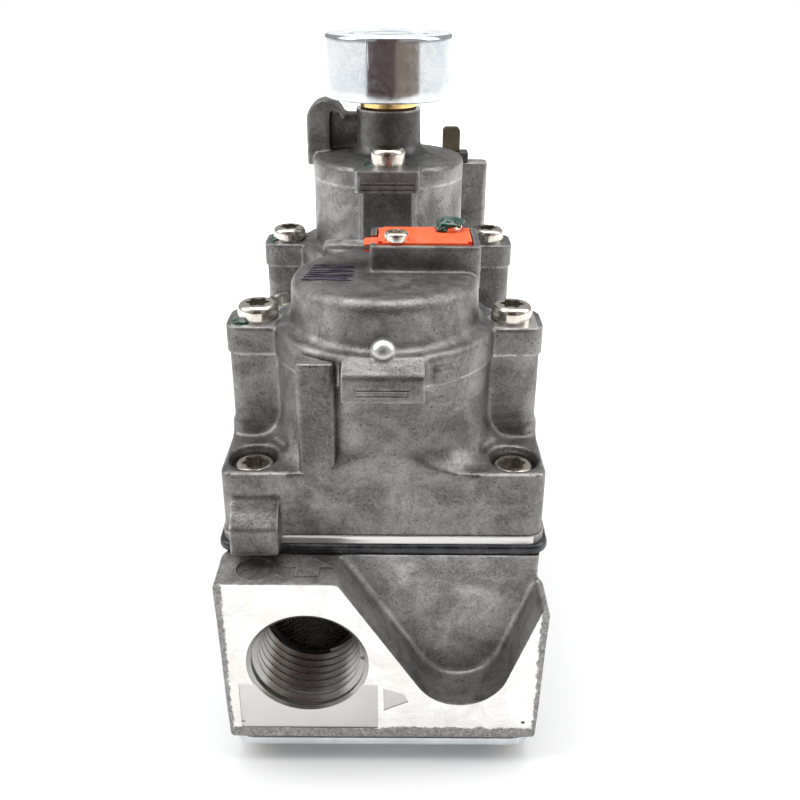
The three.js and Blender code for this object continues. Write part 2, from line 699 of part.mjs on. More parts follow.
add(
  "armature",
  softSteel,
  join(
    bar(0, REAR_Y, 49.1, 75.5, 1.9, 1.9, HOLE_SIDES),
    bar(0, REAR_Y, 75.5, 92.2, 3.2, 3.2, INNER_SIDES),
  ),
);
add(
  "diaphragm_plate",
  softSteel,
  cut(bar(0, REAR_Y, 73.4, 75.4, 8.9), bar(0, REAR_Y, 73, 76, 1.92 + GAP, 1.92 + GAP, HOLE_SIDES)),
);
add("regulator_disc", softSteel, bar(0, REAR_Y, 47.9, 49.1, 10.6));
add("regulator_seal", blackRubber, bar(0, REAR_Y, Z_SEAT + 0.05, 47.9, 10.2));
add("bias_spring", platedSteel, spring(0, REAR_Y, 92.3, 101.8, 2.6, 0.45, 5));
add("spring_seat", brass, bar(0, REAR_Y, 101.9, 103.4, 5, 5, INNER_SIDES));
add(
  "adjusting_screw",
  brass,
  cut(bar(0, REAR_Y, 103.4, 107, 5, 5, INNER_SIDES), box(-6, 6, REAR_Y - 0.5, REAR_Y + 0.5, 105.6, 108)),
);

// The cap screws into the tower by its brass insert, whose flange shows under the plated shell.
// A thin fibre washer seals the insert's flange on the tower and lifts off with it.
add(
  "cap_seal",
  fibre,
  turned(0, REAR_Y, [
    [5.2, Z_TOWER_TOP],
    [6.2, Z_TOWER_TOP],
    [6.2, Z_TOWER_TOP + SEAL_THICKNESS],
    [5.2, Z_TOWER_TOP + SEAL_THICKNESS],
    [5.2, Z_TOWER_TOP],
  ]),
);
add(
  "cap_insert",
  brass,
  turned(0, REAR_Y, [
    [0, 108.6],
    [4.9, 108.6],
    [4.9, Z_TOWER_TOP + SEAL_THICKNESS],
    [6.3, Z_TOWER_TOP + SEAL_THICKNESS],
    [6.3, 113.4],
    [4.4, 113.4],
    [4.4, 120.6],
    [0, 120.6],
  ]),
);
add(
  "regulator_cap",
  platedSteel,
  turned(0, REAR_Y, [
    [4.6, 113.5],
    [6.6, 113.5],
    [6.6, 112.6],
    [CAP_RADIUS, 112.6],
    [CAP_RADIUS, Z_TOP - 0.8],
    [CAP_RADIUS - 0.8, Z_TOP],
    [0, Z_TOP],
    [0, 120.7],
    [4.6, 120.7],
    [4.6, 113.5],
  ]),
);

// Terminals of the modulating coil, on top of the wiring bracket.
const BLADES_Y = [42.1, 44.1];
add(
  "rear_terminal_holder",
  blackPlastic,
  cut(
    box(11, 19.4, 41, 46, 95, 97.4),
    ...BLADES_Y.map((y) => box(13, 17.4, y - 0.1, y + 0.9, 95.6, 98)),
  ),
);
BLADES_Y.forEach((y, i) =>
  add(
    `rear_blade_${i + 1}`,
    platedSteel,
    cut(
      box(13.1, 17.3, y, y + 0.8, 95.7, 103.1),
      box(12.9, 14, y - 1, y + 2, 102.5, 104),
      box(16.4, 17.5, y - 1, y + 2, 102.5, 104),
    ),
  ),
);

export default valve;
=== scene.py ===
# %% [markdown]
# # A gas control valve
#
# The valve is a stack of aluminium die castings with a rubber gasket between them, held by
# plated screws. Two round units stand on it: a shut-off solenoid in front and a regulator with
# a plated steel cap behind. We load the CAD frame, make each finish once, and then build every
# visible piece as a real mesh in the same place as its CAD node.

import math
import random

import bmesh
import bpy
from mathutils import Matrix, Vector, noise


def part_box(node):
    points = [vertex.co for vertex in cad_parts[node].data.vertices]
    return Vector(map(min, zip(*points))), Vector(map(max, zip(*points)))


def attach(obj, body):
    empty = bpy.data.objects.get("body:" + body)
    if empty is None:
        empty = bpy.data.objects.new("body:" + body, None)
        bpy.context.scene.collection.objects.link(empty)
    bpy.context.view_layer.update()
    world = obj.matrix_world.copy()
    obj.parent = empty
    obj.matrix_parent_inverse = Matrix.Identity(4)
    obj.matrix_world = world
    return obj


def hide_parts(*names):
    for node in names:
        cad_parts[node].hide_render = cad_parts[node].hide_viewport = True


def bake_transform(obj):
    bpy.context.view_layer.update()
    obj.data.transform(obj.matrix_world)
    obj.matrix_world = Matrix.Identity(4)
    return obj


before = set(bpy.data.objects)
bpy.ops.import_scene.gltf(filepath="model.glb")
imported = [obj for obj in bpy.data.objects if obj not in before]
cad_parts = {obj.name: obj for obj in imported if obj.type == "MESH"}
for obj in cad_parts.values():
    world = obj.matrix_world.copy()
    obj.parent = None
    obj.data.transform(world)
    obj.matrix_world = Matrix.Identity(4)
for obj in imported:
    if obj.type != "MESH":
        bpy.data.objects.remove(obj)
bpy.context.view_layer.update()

# %% [markdown]
# ## Where things are
#
# Castings are drawn in millimetres, so we model in millimetres and scale each finished piece to
# metres once. The levels and axes come from the CAD nodes, so that a piece always meets its
# neighbours.

# %% Levels and axes, in millimetres
MM = 0.001


def box_mm(node):
    low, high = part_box(node)
    return low / MM, high / MM


def middle(node):
    low, high = box_mm(node)
    return (low + high) / 2


body_low, body_high = box_mm("lower_body")
end_y = body_high.y
half_width = body_high.x
foot_half_width = half_width - 0.7  # the sides draw in towards the bottom
z_body = body_low.z
z_body_top = box_mm("main_gasket")[0].z
z_flange = box_mm("main_gasket")[1].z
flange_half = box_mm("upper_body")[1].x
box_end = box_mm("upper_body")[1].y
z_flange_top = z_flange + 14.5
z_cover = box_mm("regulator_housing")[0].z
z_ear_top = z_cover + 5.2
z_shoulder = z_cover + 5.5
z_cap_top = z_cover + 14
z_terminal_top = box_mm("front_cover")[1].z
z_lid = box_mm("regulator_lid")[0].z
z_cap = box_mm("regulator_cap")[1].z + 0.7  # the rolled rim stands above the CAD cap
z_tower_top = box_mm("cap_seal")[0].z
front_y = middle("front_coil_yoke").y
rear_y = middle("regulator_cap").y
bore_x = middle("inlet_strainer").x
bore_z = middle("inlet_strainer").z
ear_x = middle("cover_screw_front_right").x
ear_end = box_mm("front_cover")[1].x
ear_half = 5.6
cover_radius = 20.5
wall_radius = 20.0
raised_radius = 17.0
corner_x = middle("flange_screw_2").x
corner_y = middle("flange_screw_4").y
CORNERS = [(-1, -1), (1, -1), (-1, 1), (1, 1)]
CLEARANCE = 2.3  # radius of the hole round an M4 screw
LID_SCREW = 13.1  # from the regulator's axis to the screws of its lid
print("cover parting at", round(z_cover, 2), "mm; units at y", round(front_y, 2), round(rear_y, 2))

# %% [markdown]
# ## Shapes
#
# A few helpers stand for the pattern maker's tools: a block, a rod, a turned piece and a prism.
# Each starts from one bmesh operator and returns a closed bmesh.

# %% Blocks, rods, turned pieces and prisms


def move(bm, x=0.0, y=0.0, z=0.0):
    bmesh.ops.translate(bm, verts=bm.verts, vec=(x, y, z))
    return bm


def rotate(bm, angle, axis):
    """Turns a shape about an axis through the origin, by an angle in radians."""
    bmesh.ops.rotate(bm, verts=bm.verts, cent=(0, 0, 0), matrix=Matrix.Rotation(angle, 3, axis))
    return bm


def round_edges(bm, edges, radius, segments=5):
    bmesh.ops.bevel(
        bm,
        geom=edges,
        offset=radius,
        offset_type="OFFSET",
        segments=segments,
        profile=0.5,
        affect="EDGES",
        material=-1,
        clamp_overlap=True,
    )
    return bm


def edges_along(bm, axis):
    """The edges that run along "X", "Y" or "Z"."""
    i = "XYZ".index(axis)
    return [e for e in bm.edges if abs((e.verts[0].co - e.verts[1].co).normalized()[i]) > 0.95]


def level_rims(bm):
    """The sharp edges that lie level, round the top and the bottom of a plate."""
    level = [e for e in bm.edges if abs(e.verts[0].co.z - e.verts[1].co.z) < 1e-5]
    return [e for e in level if e.calc_face_angle(0) > 1]


def edges_above(bm, z):
    return [e for e in bm.edges if min(v.co.z for v in e.verts) > z]


def block(x, y, z, upright=0.0):
    """A box between (low, high) pairs, its upright edges rounded by a radius."""
    bm = bmesh.new()
    bmesh.ops.create_cube(bm, size=1.0)
    bmesh.ops.scale(bm, verts=bm.verts, vec=(x[1] - x[0], y[1] - y[0], z[1] - z[0]))
    move(bm, sum(x) / 2, sum(y) / 2, sum(z) / 2)
    if upright:
        round_edges(bm, edges_along(bm, "Z"), upright)
    return bm


def rod(centre, span, radius, end_radius=None, along="Z", sides=72):
    """A round bar; centre is (x, y), or (x, z) for a bar along Y."""
    bm = bmesh.new()
    end_radius = radius if end_radius is None else end_radius
    bmesh.ops.create_cone(
        bm,
        cap_ends=True,
        segments=sides,
        radius1=radius,
        radius2=end_radius,
        depth=span[1] - span[0],
    )
    move(bm, z=sum(span) / 2)
    if along == "Y":
        return move(rotate(bm, -math.pi / 2, "X"), x=centre[0], z=centre[1])
    return move(bm, x=centre[0], y=centre[1])


def four_holes(x, y, span, radius, sides=24):
    """Rods at the four corners of a rectangle, which cut the holes for screws."""
    return [rod((sx * x, sy * y), span, radius, sides=sides) for sx in (-1, 1) for sy in (-1, 1)]


def turned(profile, centre=(0.0, 0.0), steps=96):
    """A full spin of (radius, z) points; the profile ends on the axis or closes on itself."""
    bm = bmesh.new()
    line = [bm.verts.new((r, 0, z)) for r, z in profile]
    edges = [bm.edges.new(pair) for pair in zip(line, line[1:])]
    bmesh.ops.spin(
        bm,
        geom=line + edges,
        cent=(0, 0, 0),
        axis=(0, 0, 1),
        angle=2 * math.pi,
        steps=steps,
        use_merge=True,
    )
    bmesh.ops.remove_doubles(bm, verts=bm.verts, dist=1e-4)
    bmesh.ops.recalc_face_normals(bm, faces=bm.faces)
    return move(bm, x=centre[0], y=centre[1])


def arc(u, v, radius, start, end, steps=8):
    """Points of an arc about (u, v), with angles in degrees."""
    angles = [math.radians(start + (end - start) * i / steps) for i in range(steps + 1)]
    return [(u + radius * math.cos(a), v + radius * math.sin(a)) for a in angles]


def prism(outline, span, along="Z"):
    """A flat outline pulled along an axis; its points are the other two axes in order."""
    bm = bmesh.new()
    axis = "XYZ".index(along)
    corners = []
    for u, v in outline:
        point = [u, v]
        point.insert(axis, span[0])
        corners.append(bm.verts.new(point))
    face = bm.faces.new(corners)
    pull = Vector((0, 0, 0))
    pull[axis] = span[1] - span[0]
    pulled = bmesh.ops.extrude_face_region(bm, geom=[face])["geom"]
    new = [v for v in pulled if isinstance(v, bmesh.types.BMVert)]
    bmesh.ops.translate(bm, verts=new, vec=pull)
    rim = [e for e in bm.edges if e.is_boundary]
    if rim:
        bmesh.ops.holes_fill(bm, edges=rim)
    bmesh.ops.recalc_face_normals(bm, faces=bm.faces)
    return bm


print("shapes ready: a test prism has", len(prism([(0, 0), (1, 0), (0, 1)], (0, 1)).faces), "faces")

# %% [markdown]
# ## Joining, cutting and the cast skin
#
# A die casting has no sharp corner on it: the metal flows round every edge and fills every inner
# corner. We join the plain shapes, remesh the lump into small voxels and smooth it, which rounds
# all of them at once, as the mould does. What is machined afterwards, such as a bore or a face,
# is cut crisply from that skin, so it keeps its sharp rim.

# %% Booleans, the cast skin and the finished piece


def as_object(bm, name):
    mesh = bpy.data.meshes.new(name)
    bm.to_mesh(mesh)
    bm.free()
    obj = bpy.data.objects.new(name, mesh)
    bpy.context.scene.collection.objects.link(obj)
    return obj


def applied(obj, *tools):
    """The object's mesh with its modifiers applied, as a bmesh; the objects are removed."""
    graph = bpy.context.evaluated_depsgraph_get()
    mesh = bpy.data.meshes.new_from_object(obj.evaluated_get(graph))
    bm = bmesh.new()
    bm.from_mesh(mesh)
    for spent in (obj, *tools):
        bpy.data.objects.remove(spent)
    bpy.data.meshes.remove(mesh)
    return bm


def carve(start, add=(), cut=()):
    """start joined with the shapes in add, then cut by the shapes in cut; all must be closed."""
    for shape in (start, *add, *cut):
        if not all(e.is_manifold for e in shape.edges):
            raise ValueError("a shape is open, so the Boolean would leave it out without a word")
    base = as_object(start, "blank")
    tools = []
    for operation, shapes in (("UNION", add), ("DIFFERENCE", cut)):
        for shape in shapes:
            tool = as_object(shape, "tool")
            step = base.modifiers.new("step", "BOOLEAN")
            step.operation = operation
            step.solver = "MANIFOLD"
            step.object = tool
            tools.append(tool)
    return applied(base, *tools)


def cast_skin(bm, grain, softening, keep):
    """Voxels of that grain, smoothed, with that share of the triangles kept."""
    lump = as_object(bm, "lump")
    remesh = lump.modifiers.new("voxels", "REMESH")
    remesh.mode = "VOXEL"
    remesh.voxel_size = grain
    soften = lump.modifiers.new("soften", "SMOOTH")
    soften.factor = 0.5
    soften.iterations = softening
    if keep < 1:
        thin = lump.modifiers.new("thin", "DECIMATE")
        thin.ratio = keep
    return applied(lump)


def finish_piece(name, bm, body, finishes, replaced=(), sharp=35):
    """Scales the mesh to metres, smooths its shading, and gives it its finishes and its body."""
    bmesh.ops.scale(bm, verts=bm.verts, vec=(MM, MM, MM))
    obj = as_object(bm, name)
    obj.data.shade_smooth()
    obj.data.set_sharp_from_angle(angle=math.radians(sharp))
    obj.data.materials.clear()
    for finish in finishes:
        obj.data.materials.append(finish)
    if body:
        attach(obj, body)
    if replaced:
        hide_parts(*replaced)
    print(name, "has", len(obj.data.polygons), "faces")
    return obj


def repaint(obj, index, wanted):
    """Faces whose centre and normal pass the test, in millimetres, take another finish."""
    count = 0
    for face in obj.data.polygons:
        if wanted(face.center / MM, face.normal):
            face.material_index = index
            count += 1
    print("  finish", index, "on", count, "faces of", obj.name)


# %% [markdown]
# ## Finishes
#
# Every finish reads Object coordinates, which are metres in the valve's own frame, so a noise
# scale of 1000 gives grains about a millimetre across. A small kit keeps each recipe readable.

# %% A kit for shader nodes


class Recipe:
    """One material with its principled shader and short calls for the usual nodes."""

    def __init__(self, name, metallic, roughness, color=(0.5, 0.5, 0.5)):
        self.material = bpy.data.materials.new(name)
        self.material.use_nodes = True
        self.nodes = self.material.node_tree.nodes
        self.links = self.material.node_tree.links
        self.shader = self.nodes["Principled BSDF"]
        self.shader.inputs["Metallic"].default_value = metallic
        self.shader.inputs["Roughness"].default_value = roughness
        self.shader.inputs["Base Color"].default_value = (*color, 1.0)
        self.place = self.nodes.new("ShaderNodeTexCoord").outputs["Object"]

    def stretched(self, scale, turn=(0.0, 0.0, 0.0)):
        mapping = self.nodes.new("ShaderNodeMapping")
        mapping.inputs["Scale"].default_value = scale
        mapping.inputs["Rotation"].default_value = turn
        self.links.new(self.place, mapping.inputs["Vector"])
        return mapping.outputs["Vector"]

    def noise(self, scale, detail=4.0, roughness=0.6, distortion=0.0, place=None):
        node = self.nodes.new("ShaderNodeTexNoise")
        node.inputs["Scale"].default_value = scale
        node.inputs["Detail"].default_value = detail
        node.inputs["Roughness"].default_value = roughness
        node.inputs["Distortion"].default_value = distortion
        self.links.new(place or self.place, node.inputs["Vector"])
        return node.outputs["Fac"]

    def cells(self, scale, place=None, feature="F1"):
        node = self.nodes.new("ShaderNodeTexVoronoi")
        node.feature = feature
        node.inputs["Scale"].default_value = scale
        self.links.new(place or self.place, node.inputs["Vector"])
        return node.outputs["Distance"]

    def ramp(self, value, low, high, out_low=0.0, out_high=1.0):
        node = self.nodes.new("ShaderNodeMapRange")
        node.inputs["From Min"].default_value = low
        node.inputs["From Max"].default_value = high
        node.inputs["To Min"].default_value = out_low
        node.inputs["To Max"].default_value = out_high
        self.links.new(value, node.inputs["Value"])
        return node.outputs["Result"]

    def math(self, operation, first, second):
        node = self.nodes.new("ShaderNodeMath")
        node.operation = operation
        for socket, value in zip(node.inputs, (first, second)):
            if isinstance(value, (int, float)):
                socket.default_value = value
            else:
                self.links.new(value, socket)
        return node.outputs["Value"]

    def mix(self, factor, first, second, blend="MIX"):
        node = self.nodes.new("ShaderNodeMix")
        node.data_type = "RGBA"
        node.blend_type = blend
        colors = [s for s in node.inputs if s.type == "RGBA"]
        for socket, value in zip(colors, (first, second)):
            if isinstance(value, tuple):
                socket.default_value = (*value, 1.0)
            else:
                self.links.new(value, socket)
        if isinstance(factor, (int, float)):
            node.inputs["Factor"].default_value = factor
        else:
            self.links.new(factor, node.inputs["Factor"])
        return [s for s in node.outputs if s.type == "RGBA"][0]

    def part(self, axis):
        node = self.nodes.new("ShaderNodeSeparateXYZ")
        self.links.new(self.place, node.inputs["Vector"])
        return node.outputs[axis]

    def edges(self, reach, low, high):
        """1 on outer edges, where a normal rounded over the reach leaves the true one; it masks rubbed metal
        and painted highlight.
        """
        rounded = self.nodes.new("ShaderNodeBevel")
        rounded.samples = 4
        rounded.inputs["Radius"].default_value = reach
        surface = self.nodes.new("ShaderNodeNewGeometry")
        along = self.nodes.new("ShaderNodeVectorMath")
        along.operation = "DOT_PRODUCT"
        self.links.new(rounded.outputs["Normal"], along.inputs[0])
        self.links.new(surface.outputs["Normal"], along.inputs[1])
        turned_away = self.ramp(self.math("SUBTRACT", 1.0, along.outputs["Value"]), low, high)
        outer = self.ramp(surface.outputs["Pointiness"], 0.497, 0.505)
        return self.math("MULTIPLY", turned_away, outer)

    def color(self, value):
        self.links.new(value, self.shader.inputs["Base Color"])

    def roughness(self, value):
        self.links.new(value, self.shader.inputs["Roughness"])

    def bump(self, height, strength, distance):
        node = self.nodes.new("ShaderNodeBump")
        node.inputs["Strength"].default_value = strength
        node.inputs["Distance"].default_value = distance
        self.links.new(height, node.inputs["Height"])
        self.links.new(node.outputs["Normal"], self.shader.inputs["Normal"])


# %% [markdown]
# ### Cast aluminium
#
# Die-cast aluminium is never one grey. It has cloudy flow marks a few millimetres across, dark
# stains where oil has dried, tiny pits, and a lighter colour on each edge, partly rubbed metal and
# partly a painted highlight. Three noises of different size make the clouds, stains and pits. A
# Bevel node finds the edges: it rounds the normal near an edge, and where that normal leaves the
# true one the colour is lightened. It looks at the shape and not at the vertices, so the long thin
# faces of a cut don't streak.

# %% Cast aluminium


def cast_aluminium(name, shade):
    """shade lightens or darkens the metal of one casting, or of one part; for the lower body and the bracket
    it is partly painted light, for the tower painted shade.
    """
    r = Recipe(name, metallic=0.82, roughness=0.45)
    clouds = r.ramp(r.noise(110, 8, 0.68, 0.6), 0.4, 0.62)
    stains = r.ramp(r.noise(260, 8, 0.75, 1.2), 0.52, 0.64)
    grain = r.ramp(r.noise(2400, 5, 0.8), 0.42, 0.64)
    specks = r.ramp(r.noise(3400, 2, 0.5), 0.56, 0.64)
    pits = r.ramp(r.cells(800, feature="F1"), 0.08, 0.2, 1.0, 0.0)
    pitted = r.math("MULTIPLY", pits, r.ramp(r.noise(330, 3), 0.46, 0.54))
    dark = (0.105 * shade, 0.102 * shade, 0.1 * shade)
    light = (0.27 * shade, 0.266 * shade, 0.258 * shade)
    tone = r.mix(clouds, dark, light)
    tone = r.mix(r.math("MULTIPLY", stains, 0.55), tone, tuple(c * 0.6 for c in dark))
    tone = r.mix(r.math("MULTIPLY", grain, 0.3), tone, tuple(c * 1.6 for c in light))
    tone = r.mix(r.math("MULTIPLY", specks, 0.4), tone, tuple(c * 0.45 for c in dark))
    tone = r.mix(r.math("MULTIPLY", pitted, 0.8), tone, (0.03, 0.03, 0.032))
    # worn lightens the outer edges: partly rubbed metal, partly a painted highlight.
    worn = r.math("MULTIPLY", r.edges(0.0008, 0.02, 0.11), r.ramp(r.noise(520, 5), 0.38, 0.56, 0.1, 0.85))
    tone = r.mix(worn, tone, (0.62, 0.61, 0.6))
    r.color(tone)
    dull = r.ramp(r.noise(300, 5), 0.3, 0.75, 0.32, 0.55)
    r.roughness(r.math("SUBTRACT", dull, r.math("MULTIPLY", worn, 0.12)))
    height = r.math("ADD", r.noise(1900, 4, 0.65), r.math("MULTIPLY", r.noise(380, 3), 1.6))
    r.bump(height, 0.5, 0.00016)
    return r.material


# The lower body is lightened to offset the shade it gets under the flange: partly its own tone, partly
# painted light.
aluminium_lower_painted_light = cast_aluminium("cast_aluminium_lower", 1.5)
aluminium_upper = cast_aluminium("cast_aluminium_upper", 1.0)
aluminium_cover = cast_aluminium("cast_aluminium_cover", 0.94)
aluminium_rear = cast_aluminium("cast_aluminium_rear", 1.08)
# The tower takes a darker copy of the lid's metal: painted shade.
aluminium_tower_painted_shade = cast_aluminium("cast_aluminium_tower", 0.5)
# The bracket takes a lighter copy of the upper casting's metal: painted light.
aluminium_bracket_painted_light = cast_aluminium("cast_aluminium_bracket", 1.6)
print("cast finishes:", aluminium_lower_painted_light.name, aluminium_upper.name, aluminium_cover.name)

# %% [markdown]
# ### Machined aluminium
#
# A milled face is the same metal without its skin: nearly white, smooth, with fine lines left by
# the cutter. The lines are a noise squeezed hard in one direction. The end faces are blotched
# where oil has dried, and the cutter ran out before three of their edges, which stay grey.

# %% Machined aluminium


def machined_aluminium(name, lines, roughness=0.24, color=(0.9, 0.89, 0.87)):
    r = Recipe(name, metallic=0.9, roughness=roughness)
    streaks = r.noise(60, 5, 0.7, place=r.stretched(lines))
    scuffs = r.ramp(r.noise(240, 6, 0.7), 0.55, 0.75)
    worn = tuple(c * 0.72 for c in color)
    r.color(r.mix(r.math("MULTIPLY", scuffs, 0.6), r.mix(streaks, color, worn), color))
    r.roughness(r.ramp(streaks, 0.3, 0.7, roughness - 0.05, roughness + 0.12))
    r.bump(streaks, 0.12, 0.00005)
    return r.material


def milled_end_face():
    """The end faces: blotched and bright, with the grey skin left where the cutter ran out."""
    r = Recipe("milled_end", metallic=0.88, roughness=0.3)
    streaks = r.noise(60, 5, 0.7, place=r.stretched((1.0, 1.0, 45.0)))
    blotches = r.ramp(r.noise(150, 7, 0.7, 0.8), 0.4, 0.66)
    warm = r.ramp(r.noise(85, 4, 0.6), 0.45, 0.62)
    tone = r.mix(r.math("MULTIPLY", blotches, 0.7), (0.93, 0.925, 0.91), (0.62, 0.6, 0.575))
    tone = r.mix(r.math("MULTIPLY", warm, 0.5), tone, (0.8, 0.745, 0.68))
    tone = r.mix(r.math("MULTIPLY", streaks, 0.15), tone, (0.6, 0.59, 0.58))
    ragged = r.math("MULTIPLY", r.noise(520, 6, 0.75), 0.0024)
    beside = r.math("ADD", r.math("ABSOLUTE", r.part("X"), 0.0), ragged)
    above = r.math("SUBTRACT", r.part("Z"), ragged)
    skin = r.math("MAXIMUM", r.ramp(beside, 0.0292, 0.0295), r.ramp(above, 0.0076, 0.0079, 1.0, 0.0))
    speckled = r.mix(r.ramp(r.noise(1800, 5, 0.8), 0.4, 0.62), (0.16, 0.157, 0.153), (0.4, 0.395, 0.385))
    r.color(r.mix(skin, tone, speckled))
    r.roughness(r.math("ADD", r.ramp(streaks, 0.3, 0.7, 0.22, 0.36), r.math("MULTIPLY", skin, 0.15)))
    r.bump(r.math("ADD", streaks, r.noise(900, 5, 0.7)), 0.12, 0.00006)
    return r.material


milled_face = machined_aluminium("milled_face", (1.0, 1.0, 45.0), 0.26, (0.78, 0.775, 0.76))
milled_end = milled_end_face()
unmilled_patch = machined_aluminium("unmilled_patch", (1.0, 1.0, 1.0), 0.4, (0.72, 0.705, 0.685))
turned_bore = machined_aluminium("turned_bore", (1.0, 45.0, 1.0), 0.24, (0.46, 0.45, 0.43))
milled_top = machined_aluminium("milled_top", (1.0, 30.0, 1.0), 0.3, (0.7, 0.7, 0.69))
print("machined finishes:", milled_face.name, turned_bore.name, milled_top.name)

# %% [markdown]
# ### Plated steel, screws and brass
#
# The cap's zinc plating is bluish white with a fine frost and short scratches. The screws are
# nickel plated, warmer and much glossier. Brass has a slight tarnish.

# %% Zinc, nickel, brass and plain steel


def zinc_plate(name, metallic, shine):
    """shine is the (low, high) roughness of the frost."""
    r = Recipe(name, metallic=metallic, roughness=0.3)
    frost = r.noise(900, 6, 0.75)
    patches = r.ramp(r.noise(130, 5, 0.6, 0.8), 0.35, 0.7)
    scratches = r.ramp(r.noise(700, 3, 0.8, place=r.stretched((1, 1, 0.09), (0.5, 0.4, 0.3))), 0.63, 0.7)
    tone = r.mix(patches, (0.56, 0.6, 0.63), (0.74, 0.755, 0.755))
    tone = r.mix(r.math("MULTIPLY", frost, 0.35), tone, (0.42, 0.45, 0.47))
    tone = r.mix(r.math("MULTIPLY", scratches, 0.5), tone, (0.93, 0.93, 0.91))
    r.color(tone)
    r.roughness(r.ramp(frost, 0.3, 0.7, *shine))
    r.bump(r.math("ADD", r.noise(1500, 5, 0.7), scratches), 0.16, 0.00006)
    return r.material


def smooth_metal(name, color, roughness, tarnish=0.25, grain=500):
    r = Recipe(name, metallic=1.0, roughness=roughness)
    spots = r.ramp(r.noise(grain, 5, 0.65), 0.42, 0.72)
    dull = tuple(c * (1 - tarnish * 1.6) for c in color)
    r.color(r.mix(r.math("MULTIPLY", spots, tarnish * 2), color, dull))
    r.roughness(r.ramp(r.noise(grain * 1.7, 4), 0.3, 0.7, roughness * 0.7, roughness * 1.5))
    r.bump(r.noise(grain * 4, 3), 0.08, 0.00004)
    return r.material


zinc = zinc_plate("zinc_plate", 0.95, (0.08, 0.22))
zinc_top = zinc_plate("zinc_plate_frosted", 0.35, (0.45, 0.65))
nickel = smooth_metal("nickel_plate", (0.7, 0.66, 0.59), 0.18)
# The dark finish for a socket's floor is painted shade in the recess.
socket_floor_painted_shade = smooth_metal("socket_floor_painted_shade", (0.16, 0.15, 0.135), 0.4)
brass = smooth_metal("brass", (0.85, 0.62, 0.25), 0.2)
soft_steel = smooth_metal("soft_steel", (0.5, 0.51, 0.53), 0.35, 0.3)
tinned_steel = smooth_metal("tinned_blade", (0.62, 0.6, 0.56), 0.35, 0.3, 300)
dull_blade = smooth_metal("dull_blade", (0.2, 0.17, 0.125), 0.4, 0.3, 300)
copper = smooth_metal("copper_winding", (0.72, 0.34, 0.16), 0.3, 0.2, 900)
dark_wire = smooth_metal("strainer_wire", (0.17, 0.165, 0.16), 0.35, 0.3, 1500)
print("metals:", zinc.name, nickel.name, brass.name, soft_steel.name)

# %% [markdown]
# ### Rubber, plastics and lacquer
#
# Rubber is nearly black with a faint sheen and mould dust. The insulator is a saturated orange
# with a fine moulded grain. The green dried lacquer marks a screw that has been set.

# %% Rubber, plastics and lacquer


def moulded(name, color, roughness, grain=1800, sheen=0.0):
    r = Recipe(name, metallic=0.0, roughness=roughness)
    dust = r.ramp(r.noise(350, 6, 0.7), 0.45, 0.8)
    lighter = tuple(c + (1 - c) * 0.09 for c in color)
    r.color(r.mix(dust, color, lighter))
    r.roughness(r.ramp(dust, 0.0, 1.0, roughness, min(1.0, roughness + 0.18)))
    r.shader.inputs["Sheen Weight"].default_value = sheen
    r.bump(r.noise(grain, 4, 0.6), 0.15, 0.00006)
    return r.material


rubber = moulded("nitrile_rubber", (0.008, 0.009, 0.012), 0.3, 1200, 0.05)
orange = moulded("orange_insulator", (0.9, 0.1, 0.012), 0.48)
black_plastic = moulded("black_plastic", (0.02, 0.02, 0.022), 0.5)
fibre = moulded("fibre_washer", (0.09, 0.02, 0.012), 0.7)


def dried_lacquer():
    r = Recipe("green_lacquer", metallic=0.0, roughness=0.25)
    thick = r.ramp(r.noise(900, 5, 0.7), 0.35, 0.7)
    r.color(r.mix(thick, (0.0, 0.022, 0.014), (0.006, 0.085, 0.055)))
    r.roughness(r.ramp(thick, 0.0, 1.0, 0.15, 0.5))
    r.shader.inputs["Coat Weight"].default_value = 0.6
    r.bump(r.noise(1300, 4), 0.4, 0.0001)
    return r.material


lacquer = dried_lacquer()
print("soft finishes:", rubber.name, orange.name, black_plastic.name, lacquer.name)

# %% [markdown]
# ## Camera, floor and light
#
# The valve is seen from its inlet end, a little above, close enough that the front looks larger
# than the back. The floor is a plain pale sheet. Three big soft lamps do most of the work, and
# the white sky is dimmed for everything but the camera, so that upright faces stay darker than
# the tops. Dark cloth cards in front of the valve give the bright metal something to mirror; they
# show only in reflections.

# %% Camera
camera_data = bpy.data.cameras.new("camera")
camera_data.lens = 40.9
camera_data.sensor_width = 36
camera_data.clip_start = 0.01
camera = bpy.data.objects.new("camera", camera_data)
bpy.context.scene.collection.objects.link(camera)
camera.location = (0.00256, -0.186, 0.1395)
pitch = Matrix.Rotation(math.radians(64.25), 3, "X")
roll = Matrix.Rotation(math.radians(0.385), 3, "Z")
camera.rotation_euler = (Matrix.Rotation(math.radians(-0.12), 3, "Z") @ pitch @ roll).to_euler()
bpy.context.scene.camera = camera
print("camera at", [round(v, 4) for v in camera.location])

# %% Floor and lamps
floor_mesh = bmesh.new()
bmesh.ops.create_grid(floor_mesh, x_segments=1, y_segments=1, size=3.0)
floor = as_object(floor_mesh, "floor")
floor_recipe = Recipe("pale_floor", metallic=0.0, roughness=0.7, color=(0.9, 0.905, 0.91))
floor_recipe.shader.inputs["Emission Color"].default_value = (1, 1, 1, 1)
reach = floor_recipe.nodes.new("ShaderNodeVectorMath")
reach.operation = "LENGTH"
floor_recipe.links.new(floor_recipe.place, reach.inputs[0])
glow = floor_recipe.ramp(reach.outputs["Value"], 0.12, 0.6, 0.05, 1.0)
floor_recipe.links.new(glow, floor_recipe.shader.inputs["Emission Strength"])
floor.data.materials.append(floor_recipe.material)


